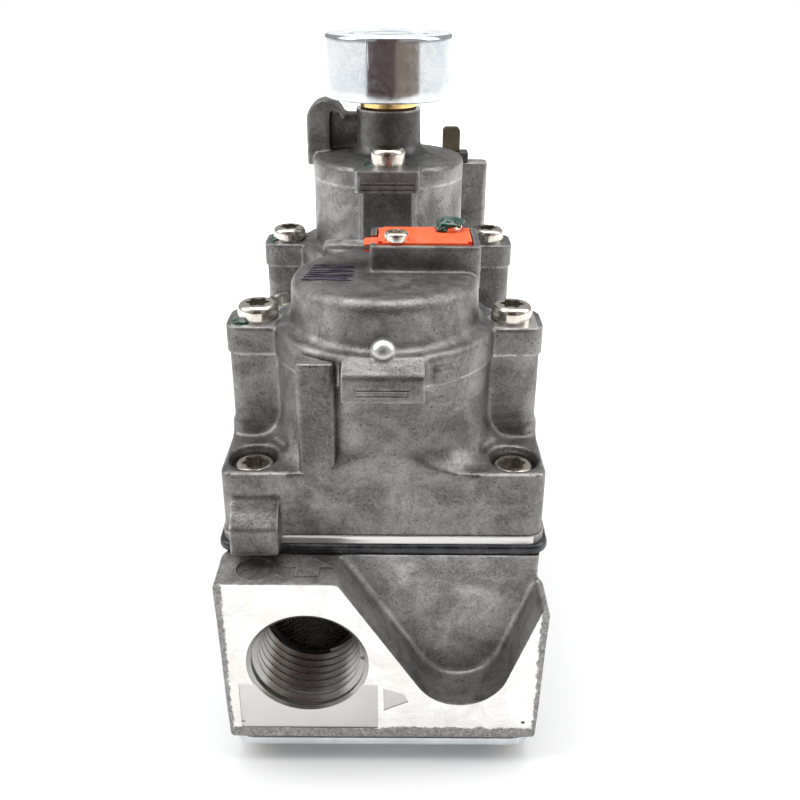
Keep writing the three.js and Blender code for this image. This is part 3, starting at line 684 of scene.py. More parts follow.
def lamp(name, place, target, size, power, color=(1, 1, 1)):
    data = bpy.data.lights.new(name, "AREA")
    data.shape = "RECTANGLE"
    data.size, data.size_y = size
    data.energy = power
    data.color = color
    obj = bpy.data.objects.new(name, data)
    obj.location = place
    aim = Vector(target) - Vector(place)
    obj.rotation_euler = aim.to_track_quat("-Z", "Y").to_euler()
    bpy.context.scene.collection.objects.link(obj)
    return obj


lamp("soft_left", (-0.5, -0.05, 0.5), (0, 0, 0.05), (0.4, 0.6), 2.6)
lamp("soft_right", (0.5, 0.0, 0.45), (0, 0, 0.05), (0.35, 0.6), 1.9)
lamp("soft_top", (0.0, 0.1, 0.75), (0, 0, 0.05), (0.6, 0.6), 4.2)


def card(name, x, y, z, color):
    """An upright cloth card in front of the valve, between (low, high) pairs in X and Z."""
    bm = bmesh.new()
    bmesh.ops.create_grid(bm, x_segments=1, y_segments=1, size=0.5)
    bmesh.ops.scale(bm, verts=bm.verts, vec=(x[1] - x[0], z[1] - z[0], 1))
    rotate(bm, math.radians(90), "X")
    obj = as_object(move(bm, sum(x) / 2, y, sum(z) / 2), name)
    cloth = Recipe(name + "_cloth", metallic=0.0, roughness=0.9, color=color)
    obj.data.materials.append(cloth.material)
    obj.visible_camera = False
    obj.visible_shadow = False


card("dark_card", (-0.19, 0.17), -0.44, (0.01, 0.6), (0.035, 0.014, 0.011))
card("low_red_card", (-0.36, 0.1), -0.43, (0.02, 0.15), (0.03, 0.004, 0.004))
card("low_brown_card", (0.1, 0.7), -0.43, (0.02, 0.15), (0.15, 0.105, 0.08))

world = bpy.data.worlds.new("white_sky")
world.use_nodes = True
sky = world.node_tree
seen = sky.nodes["Background"]
seen.inputs["Color"].default_value = (1, 1, 1, 1)
seen.inputs["Strength"].default_value = 1.0
cast = sky.nodes.new("ShaderNodeBackground")
cast.inputs["Color"].default_value = (1, 1, 1, 1)
cast.inputs["Strength"].default_value = 0.42
choose = sky.nodes.new("ShaderNodeMixShader")
sky.links.new(sky.nodes.new("ShaderNodeLightPath").outputs["Is Camera Ray"], choose.inputs[0])
sky.links.new(cast.outputs["Background"], choose.inputs[1])
sky.links.new(seen.outputs["Background"], choose.inputs[2])
sky.links.new(choose.outputs["Shader"], sky.nodes["World Output"].inputs["Surface"])
bpy.context.scene.world = world
bpy.context.scene.view_settings.view_transform = "Standard"

# %% [markdown]
# ## Lower body
#
# The lower casting is a long box with an end plate at each port. Beside the bore each plate dips
# into a round-bottomed valley. We join the box and plates, give the lump its cast skin, and only
# then mill the end faces, bore the ports and cut the chambers, so that those edges stay crisp.

# %% Lower body: the casting
VALLEY_RADIUS = 9.0
VALLEY_CENTRE = (14.3, 23.6)
END_PLATE = 9.5
SPARE = 0.6  # metal left on a face for milling
block_end = end_y - END_PLATE


def end_plate_outline():
    """The plate's outline in X and Z, with the valley as one arc between two slopes."""
    low, high, top = -half_width, half_width, z_body_top
    return [
        (-foot_half_width, z_body),
        (foot_half_width, z_body),
        (high, 36.4),
        (high - 1.2, 36.8),
        *arc(*VALLEY_CENTRE, VALLEY_RADIUS, -22.4, -147.8, 16),
        (-7.9, top),
        (low, top),
    ]


def lower_casting():
    box_wall, foot_wall = half_width - 1.0, foot_half_width - 1.0
    box_top = z_body_top + SPARE
    sides = [(-foot_wall, z_body), (foot_wall, z_body), (box_wall, box_top), (-box_wall, box_top)]
    shapes = [
        prism(end_plate_outline(), (-end_y - SPARE, -block_end), "Y"),
        prism(end_plate_outline(), (block_end, end_y + SPARE), "Y"),
    ]
    rough = carve(prism(sides, (-block_end - 0.5, block_end + 0.5), "Y"), add=shapes)
    return cast_skin(rough, 0.5, 5, 0.55)


lower = lower_casting()
print("lower casting skin:", len(lower.faces), "faces")

# %% [markdown]
# The port is bored and given a short chamfer. The pipe thread inside it is a separate spin with a
# step along the axis, which makes a real helix with a ridge every 1.8 mm.

# %% Lower body: machining
BORE_ROOT = 10.45
BORE_STEP = 8.05
MOUTH = 11.2
STRAINER_Y = 43.0
CHAMBER_END = 38.0
SEAT_RADIUS = 7.5
Z_CHAMBER_ROOF = 36.0


def port(side):
    """The shapes that bore one port; side is -1 for the inlet and 1 for the outlet."""
    face = side * end_y
    spans = [
        (face + side * 1.0, side * STRAINER_Y, BORE_ROOT, BORE_ROOT - 0.35),
        (side * (STRAINER_Y + 1), side * (CHAMBER_END - 1), BORE_STEP, BORE_STEP),
        (face + side * 0.3, face - side * 1.0, MOUTH + 0.35, BORE_ROOT - 0.5),
    ]
    tools = []
    for start, stop, radius, end_radius in spans:
        low, high = min(start, stop), max(start, stop)
        first, second = (radius, end_radius) if start < stop else (end_radius, radius)
        tools.append(rod((bore_x, bore_z), (low, high), first, second, "Y", 96))
    return tools


def lower_cuts():
    far = 70.0
    tools = [
        block((-far, far), (-far, -end_y), (-5, 60)),
        block((-far, far), (end_y, far), (-5, 60)),
        block((-far, far), (-far, far), (z_body_top, 60)),
        block((-far, far), (-far, far), (-5, z_body)),
    ]
    tools += port(-1) + port(1)
    for y0, y1 in ((-CHAMBER_END, -4), (4, CHAMBER_END)):
        tools.append(block((-25, 9.5), (y0, y1), (z_body - 1, Z_CHAMBER_ROOF), 3))
    tools.append(block((13.5, 25.5), (-CHAMBER_END, CHAMBER_END), (z_body - 1, Z_CHAMBER_ROOF), 3))
    for y in (front_y, rear_y):
        tools.append(rod((0, y), (Z_CHAMBER_ROOF - 1, z_body_top + 8), SEAT_RADIUS))
    tools += four_holes(corner_x, corner_y, (26, z_body_top + 1), CLEARANCE, 32)
    tools.append(rod((-22.8, -53.3), (z_body_top - 0.45, z_body_top + 2), 3.35, sides=64))
    tools.append(block((-26.6, -0.9), (-60, -end_y + 0.16), (z_body + 2.2, 19.4), 0))
    tools.append(prism([(0.2, 13.2), (4.8, 15.4), (3.9, 17.2), (0.1, 18.6)], (-60, -end_y + 0.12), "Y"))
    tools += [rod((x, 10.4), (-60, -end_y + 0.3), 0.5, 0.35, "Y", 12) for x in (-26.3, 26.4)]
    return tools


def seat_rim(y):
    profile = [
        (SEAT_RADIUS, z_body_top - 2),
        (SEAT_RADIUS + 2, z_body_top - 2),
        (SEAT_RADIUS + 1.6, z_body_top + 1),
        *arc(SEAT_RADIUS + 0.5, z_body_top + 3, 0.5, 0, 180, 6),
        (SEAT_RADIUS, z_body_top - 2),
    ]
    return turned(profile, (0, y))


def flow_arrow():
    """A low raised arrow that points from the inlet to the outlet."""
    x, tip, tail, z = -13.4, -49.9, -55.7, z_body_top
    outline = [
        (x - 2.1, tail),
        (x + 2.1, tail),
        (x + 2.1, -53.2),
        (x + 4.6, -53.2),
        (x, tip),
        (x - 4.6, -53.2),
        (x - 2.1, -53.2),
    ]
    return prism(outline, (z - 0.4, z + 0.35))


lower = carve(lower, cut=lower_cuts())
lower = carve(lower, add=[flow_arrow(), seat_rim(front_y), seat_rim(rear_y)])
lower_obj = finish_piece(
    "lower_body_casting",
    lower,
    "valve_body",
    [aluminium_lower_painted_light, milled_end, turned_bore, unmilled_patch],
    ["lower_body"],
)


def on_milled_end(centre, normal):
    return abs(normal.y) > 0.99 and abs(centre.y) > end_y - 0.02


def in_bore(centre, normal):
    away = math.hypot(centre.x - bore_x, centre.z - bore_z)
    faces_out = abs(normal.y) > 0.99 and abs(centre.y) > end_y - 0.5
    return 7.5 < away < MOUTH + 0.4 and CHAMBER_END - 1 < abs(centre.y) < end_y - 0.02 and not faces_out


def on_unmilled_patch(centre, normal):
    """The shallow steps in the end face, which the cutter passed over."""
    return abs(normal.y) > 0.99 and 0.05 < abs(abs(centre.y) - end_y) < 0.35 and centre.z < 19.5


repaint(lower_obj, 1, on_milled_end)
repaint(lower_obj, 3, on_unmilled_patch)
repaint(lower_obj, 2, in_bore)


# %% Lower body: the pipe threads
def pipe_thread(side):
    """One V ridge swept as a helix; the thread narrows slightly, as a pipe thread does."""
    pitch, turns, per_turn = 1.814, 7.2, 64
    depth, root = 1.05, BORE_ROOT + 0.1
    bm = bmesh.new()
    section = [(root, 0.0), (root - depth, pitch * 0.42), (root - depth, pitch * 0.56), (root, pitch * 0.98)]
    corners = [bm.verts.new((r, 0, z)) for r, z in section]
    loop = [bm.edges.new((corners[i], corners[(i + 1) % 4])) for i in range(4)]
    bmesh.ops.spin(
        bm,
        geom=corners + loop,
        cent=(0, 0, 0),
        axis=(0, 0, 1),
        dvec=(0, 0, pitch / per_turn),
        angle=2 * math.pi * turns,
        steps=int(per_turn * turns),
        use_merge=False,
    )
    bmesh.ops.holes_fill(bm, edges=[e for e in bm.edges if e.is_boundary])
    bmesh.ops.recalc_face_normals(bm, faces=bm.faces)
    for v in bm.verts:
        taper = 1 - 0.03 * v.co.z / (pitch * turns)
        v.co.x *= taper
        v.co.y *= taper
    return move(rotate(bm, math.pi / 2 * side, "X"), bore_x, side * (end_y - 1.0), bore_z)


for side, name in ((-1, "inlet_thread"), (1, "outlet_thread")):
    finish_piece(name, pipe_thread(side), "valve_body", [turned_bore])


# %% [markdown]
# ## Bottom plate and gaskets
#
# The bottom plate is pressed steel with two round pads pushed out of it. The main gasket is a
# rubber sheet squeezed between the castings, so its edge bulges and wanders a little. We round
# it and then push its rim about with a slow noise, as clamping does.

# %% Bottom plate, bottom gasket and bottom screws
PAD_RADIUS = 18.0
PAD_OFFSET = 36.0
PLATE_HALF = box_mm("bottom_plate")[1].xy
BOTTOM_SCREW = (24.0, 53.0)


def bottom_plate():
    z_plate = 4.0
    x, y = PLATE_HALF
    plate = block((-x, x), (-y, y), (z_plate, 6.0), 4)
    round_edges(plate, level_rims(plate), 0.35, 3)
    pad = [
        (0, 0),
        *arc(PAD_RADIUS - 2.4, 1.0, 1.0, -90, -20, 6),
        *reversed(arc(PAD_RADIUS + 0.6, z_plate - 1.0 + 0.2, 1.0, 90, 170, 6)),
        (PAD_RADIUS + 0.6, z_plate + 0.9),
        (0, z_plate + 0.9),
    ]
    pads = [turned(pad, (0, y_pad)) for y_pad in (-PAD_OFFSET, PAD_OFFSET)]
    return carve(plate, add=pads, cut=four_holes(*BOTTOM_SCREW, (0, 8), 1.8))


finish_piece("bottom_plate_pressed", bottom_plate(), "valve_body", [zinc], ["bottom_plate"])


def sheet_gasket(half_x, half_y, z, corner, edge):
    bm = block((-half_x, half_x), (-half_y, half_y), z, corner)
    return round_edges(bm, level_rims(bm), edge, 4)


def wander(bm, reach, size, seed):
    """Moves each rim point in or out by a slow noise, mostly inwards."""
    for v in bm.verts:
        outward = Vector((v.co.x, v.co.y, 0)).normalized()
        push = noise.noise(Vector((v.co.x, v.co.y, seed)) / size) * reach
        v.co += outward * min(push, 0.0)
        v.co.z += push * 0.15
    return bm


def main_gasket():
    half_x, half_y = box_mm("main_gasket")[1].xy
    bm = sheet_gasket(half_x, half_y, (z_body_top, z_flange), 3.5, 0.75)
    long_edges = [e for e in bm.edges if e.calc_length() > 20]
    bmesh.ops.subdivide_edges(bm, edges=long_edges, cuts=24, use_grid_fill=False)
    wander(bm, 0.9, 17.0, 3.1)
    through = (z_body_top - 1, z_flange + 1)
    opening = block((-20, 20), (-40.5, 38.5), through, 5)
    return carve(bm, cut=[opening, *four_holes(corner_x, corner_y, through, CLEARANCE)])


finish_piece("main_gasket_rubber", main_gasket(), "valve_body", [rubber], ["main_gasket"])

# %% [markdown]
# ## Upper body
#
# The upper casting carries a deep flange, two round walls, four screw ears, an upright rib, a
# locating lug and the pressure tapping. A milled strip runs round the bottom of the flange, where
# it meets the gasket.

# %% Upper body: the casting
STRIP = 1.8  # height of the milled strip
rib_top = z_cover + 4.3
FLANGE_SINK = 4.0  # from the flange's top to the seats of its screws
TAP = (-20.7, -3.0)


def ear_block(y, z, grow=0.0):
    """Both screw ears of one unit, as one block across it with rounded ends."""
    end, half = ear_end + grow, ear_half + grow
    return block((-end, end), (y - half, y + half), z, 3.0 + grow)


def flange_pocket(x, y):
    """The sunk seat round a flange screw; above the flange it scoops out the wall's foot."""
    profile = [
        (0, z_flange_top - FLANGE_SINK),
        (4.2, z_flange_top - FLANGE_SINK),
        (4.4, z_flange_top + 0.5),
        (6.3, z_flange_top + 0.7),
        (6.8, z_flange_top + 8),
        (0, z_flange_top + 8),
    ]
    return turned(profile, (x, y), 64)


def foot_flare(x, y, radius, reach, height):
    """The bell-shaped foot where a round wall runs out into the flange."""
    curve = [
        (radius + reach - reach * math.sin(a), z_flange_top + height - height * math.cos(a))
        for a in [math.radians(90 - 90 * i / 8) for i in range(9)]
    ]
    profile = [(0, z_flange_top + height), *curve, (radius + reach, z_flange_top - 2), (0, z_flange_top - 2)]
    return turned(profile, (x, y), 96)


def locating_lug():
    """The nose that hangs over the gasket; its outline is in Y and Z."""
    outline = [
        (-46, z_flange + 0.1),
        (-46, z_flange + 9.6),
        (-48.9, z_flange + 9.2),
        (-50.2, z_flange + 7.8),
        (-52.8, z_flange + 5.6),
        (-52.8, z_flange + 0.1),
    ]
    return prism(outline, (-27.1, -18.5), "X")


def upper_casting():
    edge, end = flange_half - 0.35, box_end - 0.35
    foot = z_flange_top - 2
    start = block((-edge, edge), (-end, end), (z_flange - 3, z_flange_top), 2.6)
    flares = []
    shapes = []
    for y in (front_y, rear_y):
        flares.append(foot_flare(0, y, wall_radius, 5.2, 5.5))
        shapes.append(rod((0, y), (foot, z_cover + 3), wall_radius, sides=128))
        shapes.append(ear_block(y, (foot, z_cover + 3), -0.4))
        shapes.append(ear_block(y, (foot, z_flange_top + 2.2), 0.1))
    shapes += [
        rod(TAP, (foot, z_cover + 3), 4.7, sides=64),
        foot_flare(*TAP, 4.7, 1.4, 1.6),
        locating_lug(),
    ]
    beyond = [
        block((-40, 40), (-70, -end), (z_flange_top - 4, z_flange_top + 9)),
        block((-40, 40), (end, 70), (z_flange_top - 4, z_flange_top + 9)),
    ]
    pockets = [flange_pocket(x, y) for x in (-corner_x, corner_x) for y in (-corner_y, corner_y)]
    footed = carve(start, add=flares, cut=[*pockets, *beyond])
    wells = [rod((0, y), (60, z_cover + 9), 16.0, sides=96) for y in (front_y, rear_y)]
    return cast_skin(carve(footed, add=shapes, cut=wells), 0.5, 4, 0.5)


upper = upper_casting()
print("upper casting skin:", len(upper.faces), "faces")

# %% Upper body: machining
Z_UPPER_ROOF = 54.0
UPPER_OPENING = ((-19.5, 19.5), (-40, 38))


def milled_strip():
    edge_x, edge_y = flange_half, box_end
    bm = block((-edge_x, edge_x), (-edge_y, edge_y), (z_flange, z_flange + STRIP), 3.0)
    return round_edges(bm, level_rims(bm), 0.18, 2)


def upper_cuts():
    tools = [
        block((-70, 70), (-60, 60), (0, z_flange)),
        block(*UPPER_OPENING, (z_flange - 1, Z_UPPER_ROOF), 5),
        rod((0, front_y), (Z_UPPER_ROOF - 1, 61), 5.5, sides=32),
        rod((0, rear_y), (Z_UPPER_ROOF - 1, 61), 2.4, sides=24),
        rod(TAP, (Z_UPPER_ROOF - 1, z_cover + 4), 1.2, sides=24),
        rod(TAP, (66, z_cover + 4), 3.9, sides=48),
        rod(TAP, (z_cover - 0.8, z_cover + 4), 3.9, 6.0, sides=48),
        block((-6.4 + TAP[0], 6.4 + TAP[0]), (TAP[1] - 6.4, TAP[1] + 4.6), (z_cover - 0.2, z_cover + 9)),
    ]
    for x in (-corner_x, corner_x):
        for y in (-corner_y, corner_y):
            tools.append(rod((x, y), (z_flange - 1, z_flange_top), CLEARANCE, sides=24))
            tools.append(rod((x, y), (z_flange_top - FLANGE_SINK, z_flange_top + 1), 4.2, sides=48))
    for y in (front_y, rear_y):
        tools += [rod((x, y), (62, z_cover + 1), CLEARANCE, sides=24) for x in (-ear_x, ear_x)]
        low, high = z_cover, z_cover + 12
        ring = [(15, low), (30.5, low), (30.5, high), (15, high), (15, low)]
        tools.append(turned(ring, (0, y)))
    return tools


rib = block((-14.8, -8.2), (-48.1, -42.5), (z_flange_top - 1, rib_top), 1.2)
round_edges(rib, edges_above(rib, rib_top - 0.01), 0.5, 3)
BRACKET = ((10.2, 24.2), (40.9, 46.1))
bracket_top = 95.0
bracket = block(*BRACKET, (z_flange_top - 1, bracket_top), 1.2)
round_edges(bracket, edges_above(bracket, bracket_top - 0.1), 0.4, 3)
near_cover = rod((0, front_y), (z_cover, rib_top + 2), cover_radius + 0.25, sides=128)
near_housing = rod((0, rear_y), (z_cover, 97), cover_radius + 0.25, sides=128)
uprights = carve(rib, add=[bracket], cut=[near_cover, near_housing])
upper = carve(upper, cut=upper_cuts())
upper = carve(upper, add=[milled_strip(), uprights])
upper = carve(upper, cut=[block(*UPPER_OPENING, (z_flange - 1, z_flange + STRIP + 1), 5)])
upper_obj = finish_piece(
    "upper_body_casting",
    upper,
    "valve_body",
    [aluminium_upper, milled_face, turned_bore, aluminium_bracket_painted_light],
    ["upper_body"],
)


def on_strip(centre, normal):
    at_rim = abs(centre.x) > flange_half - 0.3 or abs(centre.y) > box_end - 0.3
    return centre.z < z_flange + STRIP + 0.05 and at_rim and not (centre.y < -49 and centre.x < -18)


def in_tap(centre, normal):
    away = math.hypot(centre.x - TAP[0], centre.y - TAP[1])
    return z_cover - 9 < centre.z < z_cover + 1 and (away < 4.1 or (away < 4.9 and normal.z > 0.5))


repaint(upper_obj, 1, on_strip)
repaint(upper_obj, 2, in_tap)


def on_bracket(centre, normal):
    """Everything inside the bracket's own outline, so that its edge is where the tone changes."""
    low, high = (Vector(pair) for pair in zip(*BRACKET))
    inside = low.x - 0.05 < centre.x < high.x + 0.05 and low.y - 0.05 < centre.y < high.y + 0.05
    return inside and centre.z > z_flange_top + 0.02


# The bracket's faces take the lighter copy of the metal: painted light.
repaint(upper_obj, 3, on_bracket)


# %% [markdown]
# ## Screws
#
# Every big screw is an M4 pan head with a six-lobe socket. We turn one head, cut the socket with
# a lobed prism, and copy it to each seat. The shank is plain, since it is buried in its hole.

# %% Torx screws


def six_lobe(radius, z):
    """A prism whose outline swells six times round."""
    outline = []
    for i in range(60):
        a = 2 * math.pi * i / 60
        r = radius * (0.86 + 0.14 * math.cos(6 * a))
        outline.append((r * math.cos(a), r * math.sin(a)))
    return prism(outline, z)


def pan_head(radius, height, shank, length):
    """A turned pan head on the plane z = 0, with its shank below."""
    fall = min(height * 0.38, 1.2)
    crown = arc(radius - fall - 0.05, height - fall, fall, 0, 90, 8)
    profile = [
        (0, -length),
        (shank * 0.7, -length),
        (shank, -length + shank * 0.5),
        (shank, 0),
        (radius, 0),
        (radius, 0.25),
        *crown,
        (0, height),
    ]
    return turned(profile, steps=64)


def copied(bm, x, y, z, turn=0.0):
    """A copy of a screw, turned about its axis and set on its seat."""
    return move(rotate(bm.copy(), turn, "Z"), x, y, z)


seats = {}
for i, (sx, sy) in enumerate(CORNERS, 1):
    seats[f"flange_screw_{i}"] = (sx * corner_x, sy * corner_y, z_flange_top - FLANGE_SINK)
for side, sx in (("left", -1), ("right", 1)):
    seats[f"cover_screw_front_{side}"] = (sx * ear_x, front_y, z_ear_top)
    seats[f"cover_screw_rear_{side}"] = (sx * ear_x, rear_y, z_ear_top)
LID_SEAT = 4.5  # from the lid's joint to the seats of its screws
lid_seats = {
    "lid_screw_front": (0, rear_y - LID_SCREW, z_lid + LID_SEAT),
    "lid_screw_rear": (0, rear_y + LID_SCREW, z_lid + LID_SEAT),
}

random.seed(4)
SOCKET_RADIUS = 2.25
HEAD_RADIUS = 3.8
m4_blank = carve(pan_head(HEAD_RADIUS, 2.9, 2.0, 9.0), cut=[six_lobe(SOCKET_RADIUS, (0.9, 4.0))])
tall_blank = carve(pan_head(HEAD_RADIUS, 3.8, 2.0, 9.0), cut=[six_lobe(SOCKET_RADIUS, (1.2, 5.0))])
for name, (x, y, z) in {**seats, **lid_seats}.items():
    blank = tall_blank if name in lid_seats else m4_blank
    made = copied(blank, x, y, z, random.uniform(0, 1))
    metals = [nickel, socket_floor_painted_shade]
    obj = finish_piece(name + "_torx", made, "valve_body", metals, [name], 40)
    # The socket's floor takes the dark finish: painted shade in the recess.
    repaint(obj, 1, lambda c, n: n.z > 0.9 and z + 0.5 < c.z < z + 1.5)

# %% Small cross-recess and slotted screws


def cross_recess(size, z):
    """Two crossing wedges, narrower at the bottom."""
    wings = []
    for turn in (0, math.pi / 2):
        wing = block((-size, size), (-size * 0.2, size * 0.2), z)
        low = [v for v in wing.verts if v.co.z < sum(z) / 2]
        bmesh.ops.scale(wing, verts=low, vec=(0.35, 0.6, 1))
        wings.append(rotate(wing, turn, "Z"))
    return wings


small_blank = carve(pan_head(2.25, 1.55, 1.1, 3.6), cut=cross_recess(1.25, (0.55, 1.9)))
terminal_seats = {"terminal_screw_1": (2.1, -24.9, 94.1), "terminal_screw_2": (12.1, -17.6, 94.1)}
for name, place in terminal_seats.items():
    made = copied(small_blank, *place, random.uniform(0, 1))
    finish_piece(name + "_cross", made, "valve_body", [nickel], [name], 40)

bottom_blank = carve(pan_head(2.7, 1.8, 1.4, 8), cut=cross_recess(1.5, (0.6, 2.2)))
rotate(bottom_blank, math.pi, "X")
for i, (sx, sy) in enumerate(CORNERS, 1):
    made = copied(bottom_blank, sx * BOTTOM_SCREW[0], sy * BOTTOM_SCREW[1], 4.0)
    name = f"bottom_screw_{i}"
    finish_piece(name + "_cross", made, "valve_body", [nickel], [name], 40)

plug = turned([(0, 67), (2.7, 67), (2.9, 67.3), (2.9, 72.0), (2.4, 72.5), (0, 72.5)], TAP, 48)
plug = carve(plug, cut=[block((TAP[0] - 4, TAP[0] + 4), (TAP[1] - 0.45, TAP[1] + 0.45), (71.3, 74))])
finish_piece("test_port_plug_turned", plug, "valve_body", [nickel], ["test_port_plug"], 40)

# %% [markdown]
# ## Front cover
#
# The cover over the shut-off coil is a disc with two ears and a raised round cap. A rounded tab
# hangs over the front wall, a spherical pip sits above it, and a rectangular pocket on top holds
# the terminals. A shallow pad and a small notch flank the tab at the parting line.

# %% Front cover


def cover_disc(y, top_profile):
    """The round part of a cover: a rounded disc and whatever profile stands on it."""
    rim = arc(cover_radius - 1.1, z_shoulder - 1.1, 1.1, 0, 80, 5)
    profile = [(0, z_cover - 3), (cover_radius, z_cover - 3), *rim, *top_profile]
    return turned(profile, (0, y), 128)


def wall_pad(y, angle, width, z, proud):
    """A thin pad on the disc's wall; angle is from the front, clockwise seen from above."""
    pad = block((-width / 2, width / 2), (-cover_radius - proud, -cover_radius + 1.5), z, 0.3)
    return move(rotate(pad, math.radians(angle), "Z"), y=y)


def ear_holes(y):
    """A screw hole and a flat seat in each of a unit's two ears."""
    tools = []
    for x in (-ear_x, ear_x):
        tools.append(rod((x, y), (z_cover - 1, z_ear_top + 1), CLEARANCE, sides=32))
        tools.append(rod((x, y), (z_ear_top, z_ear_top + 8), 4.4, sides=64))
    return tools


def hanging_tab():
    """The front tab; its outline is in Y and Z."""
    outline = [
        (-44, z_cover - 1),
        (-44, 80.2),
        (-47.2, 80.2),
        (-49.7, 79.3),
        (-50.8, 78.9),
        (-51.4, 78.2),
        (-51.4, 73.7),
        (-48.8, 73.7),
        (-48.8, z_cover - 1),
    ]
    return prism(outline, (-7, 7), "X")


PIP = (0.0, -46.2, 80.9)
PIP_RADIUS = 2.2
PIP_STRETCH = (1.05, 1.0, 1.1)


def front_cover():
    y = front_y
    fillet = arc(raised_radius + 2.0, z_shoulder + 1.8, 1.8, 270, 180, 6)
    shoulder = arc(raised_radius - 2.2, z_cap_top - 2.2, 2.2, 0, 90, 6)
    disc = cover_disc(y, [*fillet, *shoulder, (0, z_cap_top)])
    shapes = [
        ear_block(y, (z_cover - 3, z_ear_top)),
        hanging_tab(),
        block((-2.8, 17.3), (-28.3, -14.5), (z_cap_top - 3, z_terminal_top), 0.8),
        wall_pad(y, 32, 5.2, (z_cover, z_cover + 3.0), 0.45),
    ]
    skin = cast_skin(carve(disc, add=shapes), 0.4, 3, 0.5)
    cuts = [
        rod((0, y), (z_cover - 3, 87), 15.4, sides=96),
        block((-40, 40), (-48.7, 10), (z_cover - 5, z_cover)),
        block((-1.6, 16.1), (-27.2, -15.6), (90, z_terminal_top + 2), 0.5),
        block((-6, -1), (-25.7, -20.3), (91.3, z_terminal_top + 2), 0.3),
        block((4.6, 7), (-20, -17), (86, 91)),
        block((-8.3, -7.3), (-60, -47.0), (z_cover - 2, 79.2), 0.2),
        block((-4.4, 4.4), (-60, -51.25), (76.05, 76.3)),
        block((-4.4, 4.4), (-60, -51.25), (75.0, 75.25)),
    ]
    cuts += ear_holes(y)
    pip = bmesh.new()
    bmesh.ops.create_uvsphere(pip, u_segments=48, v_segments=32, radius=PIP_RADIUS)
    bmesh.ops.scale(pip, verts=pip.verts, vec=PIP_STRETCH)
    return carve(carve(skin, cut=cuts), add=[move(pip, *PIP)])


cover_obj = finish_piece(
    "front_cover_casting",
    front_cover(),
    "valve_body",
    [aluminium_cover, milled_top],
    ["front_cover"],
)


def on_ear_seat(centre, normal):
    level = normal.z > 0.95 and abs(centre.z - z_ear_top) < 0.06
    return level and abs(abs(centre.x) - ear_x) < 4.5


def on_pip(centre, normal):
    """On the pip's own ellipsoid, with the normal pointing away from its middle."""
    x, y, z = centre - Vector(PIP)
    reach = Vector((x / PIP_STRETCH[0], y / PIP_STRETCH[1], z / PIP_STRETCH[2]))
    return abs(reach.length / PIP_RADIUS - 1) < 0.012 and normal.dot(reach.normalized()) > 0.97


repaint(cover_obj, 1, on_ear_seat)
repaint(cover_obj, 1, on_pip)

# %% Marker hatching on the cover
marker = moulded("marker_ink", (0.012, 0.005, 0.025), 0.35)


def pen_stroke(start, end, width, z):
    """A thin flat ribbon that wanders a little, with tapered ends."""
    steps = 12
    left, right = [], []
    for i in range(steps + 1):
        t = i / steps
        x = start[0] + (end[0] - start[0]) * t
        y = start[1] + (end[1] - start[1]) * t + 0.22 * math.sin(6 * t + start[1])
        half = width / 2 * (0.35 + 0.65 * math.sin(math.pi * min(1, max(0.08, t))))
        left.append((x, y + half))
        right.append((x, y - half))
    return prism(left + right[::-1], (z - 0.05, z + 0.12))


strokes = []
for i in range(7):
    y = -32.6 + i * 1.35
    tilt = 0.5 if i % 2 else -0.35
    strokes.append(pen_stroke((-14.6 + 0.25 * i, y), (-5.8 + 0.15 * (i % 3), y + tilt), 0.72, z_cap_top))
strokes.append(pen_stroke((-13.4, -32.9), (-6.6, -31.9), 0.6, z_cap_top))
ink = carve(strokes[0], add=strokes[1:])
finish_piece("marker_hatching", ink, "valve_body", [marker])

# %% [markdown]
# ## Terminals of the shut-off coil
#
# An orange insulator fills the pocket. One tinned blade reaches out to the left with its
# tip bent down, and two small screws clamp the leads.

# %% Orange block and blade
BLADE_Y = (-25.1, -20.9)


def terminal_block():
    plate = block((-1.3, 15.8), (-26.9, -15.9), (90.1, 94.1), 0.3)
    nose = block((-3.9, -1), (-25.2, -20.8), (91.7, 93.4), 0.4)
    tip = [v for v in nose.verts if v.co.x < -3]
    bmesh.ops.scale(nose, verts=tip, vec=(1, 1, 0.8), space=Matrix.Translation((0, 23, -92.6)))
    round_edges(plate, edges_above(plate, 94), 0.2, 2)
    corners = [(-1.3, -15.9), (15.8, -26.9), (15.8, -15.9), (-1.3, -26.9)]
    notches = [block((x - 0.9, x + 0.9), (y - 0.9, y + 0.9), (93.2, 95)) for x, y in corners]
    holes = [rod(place[:2], (89, 95), 1.25, sides=24) for place in terminal_seats.values()]
    slot = block((-6, 1), (BLADE_Y[0] - 0.2, BLADE_Y[1] + 0.2), (92.2, 93.0))
    return carve(plate, add=[nose], cut=[*notches, *holes, slot])


def bent_blade():
    outline = [(0.7, 92.3), (0.7, 92.9), (-10.6, 92.9), (-11.2, 92.65), (-11.4, 92.1)]
    outline += [(-11.4, 91.0), (-10.9, 91.0), (-10.9, 91.9), (-10.6, 92.3)]
    return prism(outline, BLADE_Y, "Y")


finish_piece(
    "orange_terminal_block",
    terminal_block(),
    "valve_body",
    [orange],
    ["terminal_block"],
)
finish_piece(
    "blade_terminal_bent",
    bent_blade(),
    "valve_body",
    [tinned_steel],
    ["blade_terminal"],
)

# %% [markdown]
# ## Regulator
#
# The rear unit has its own disc and ears, a tall round housing with a flat column at front and
# back, and a domed lid. The lid carries the adjuster's tower, two screw tabs and, on the left,
# the hook that keeps the leads clear.

# %% Regulator housing
COLUMN_HALF = 5.8
column_reach = 18.8


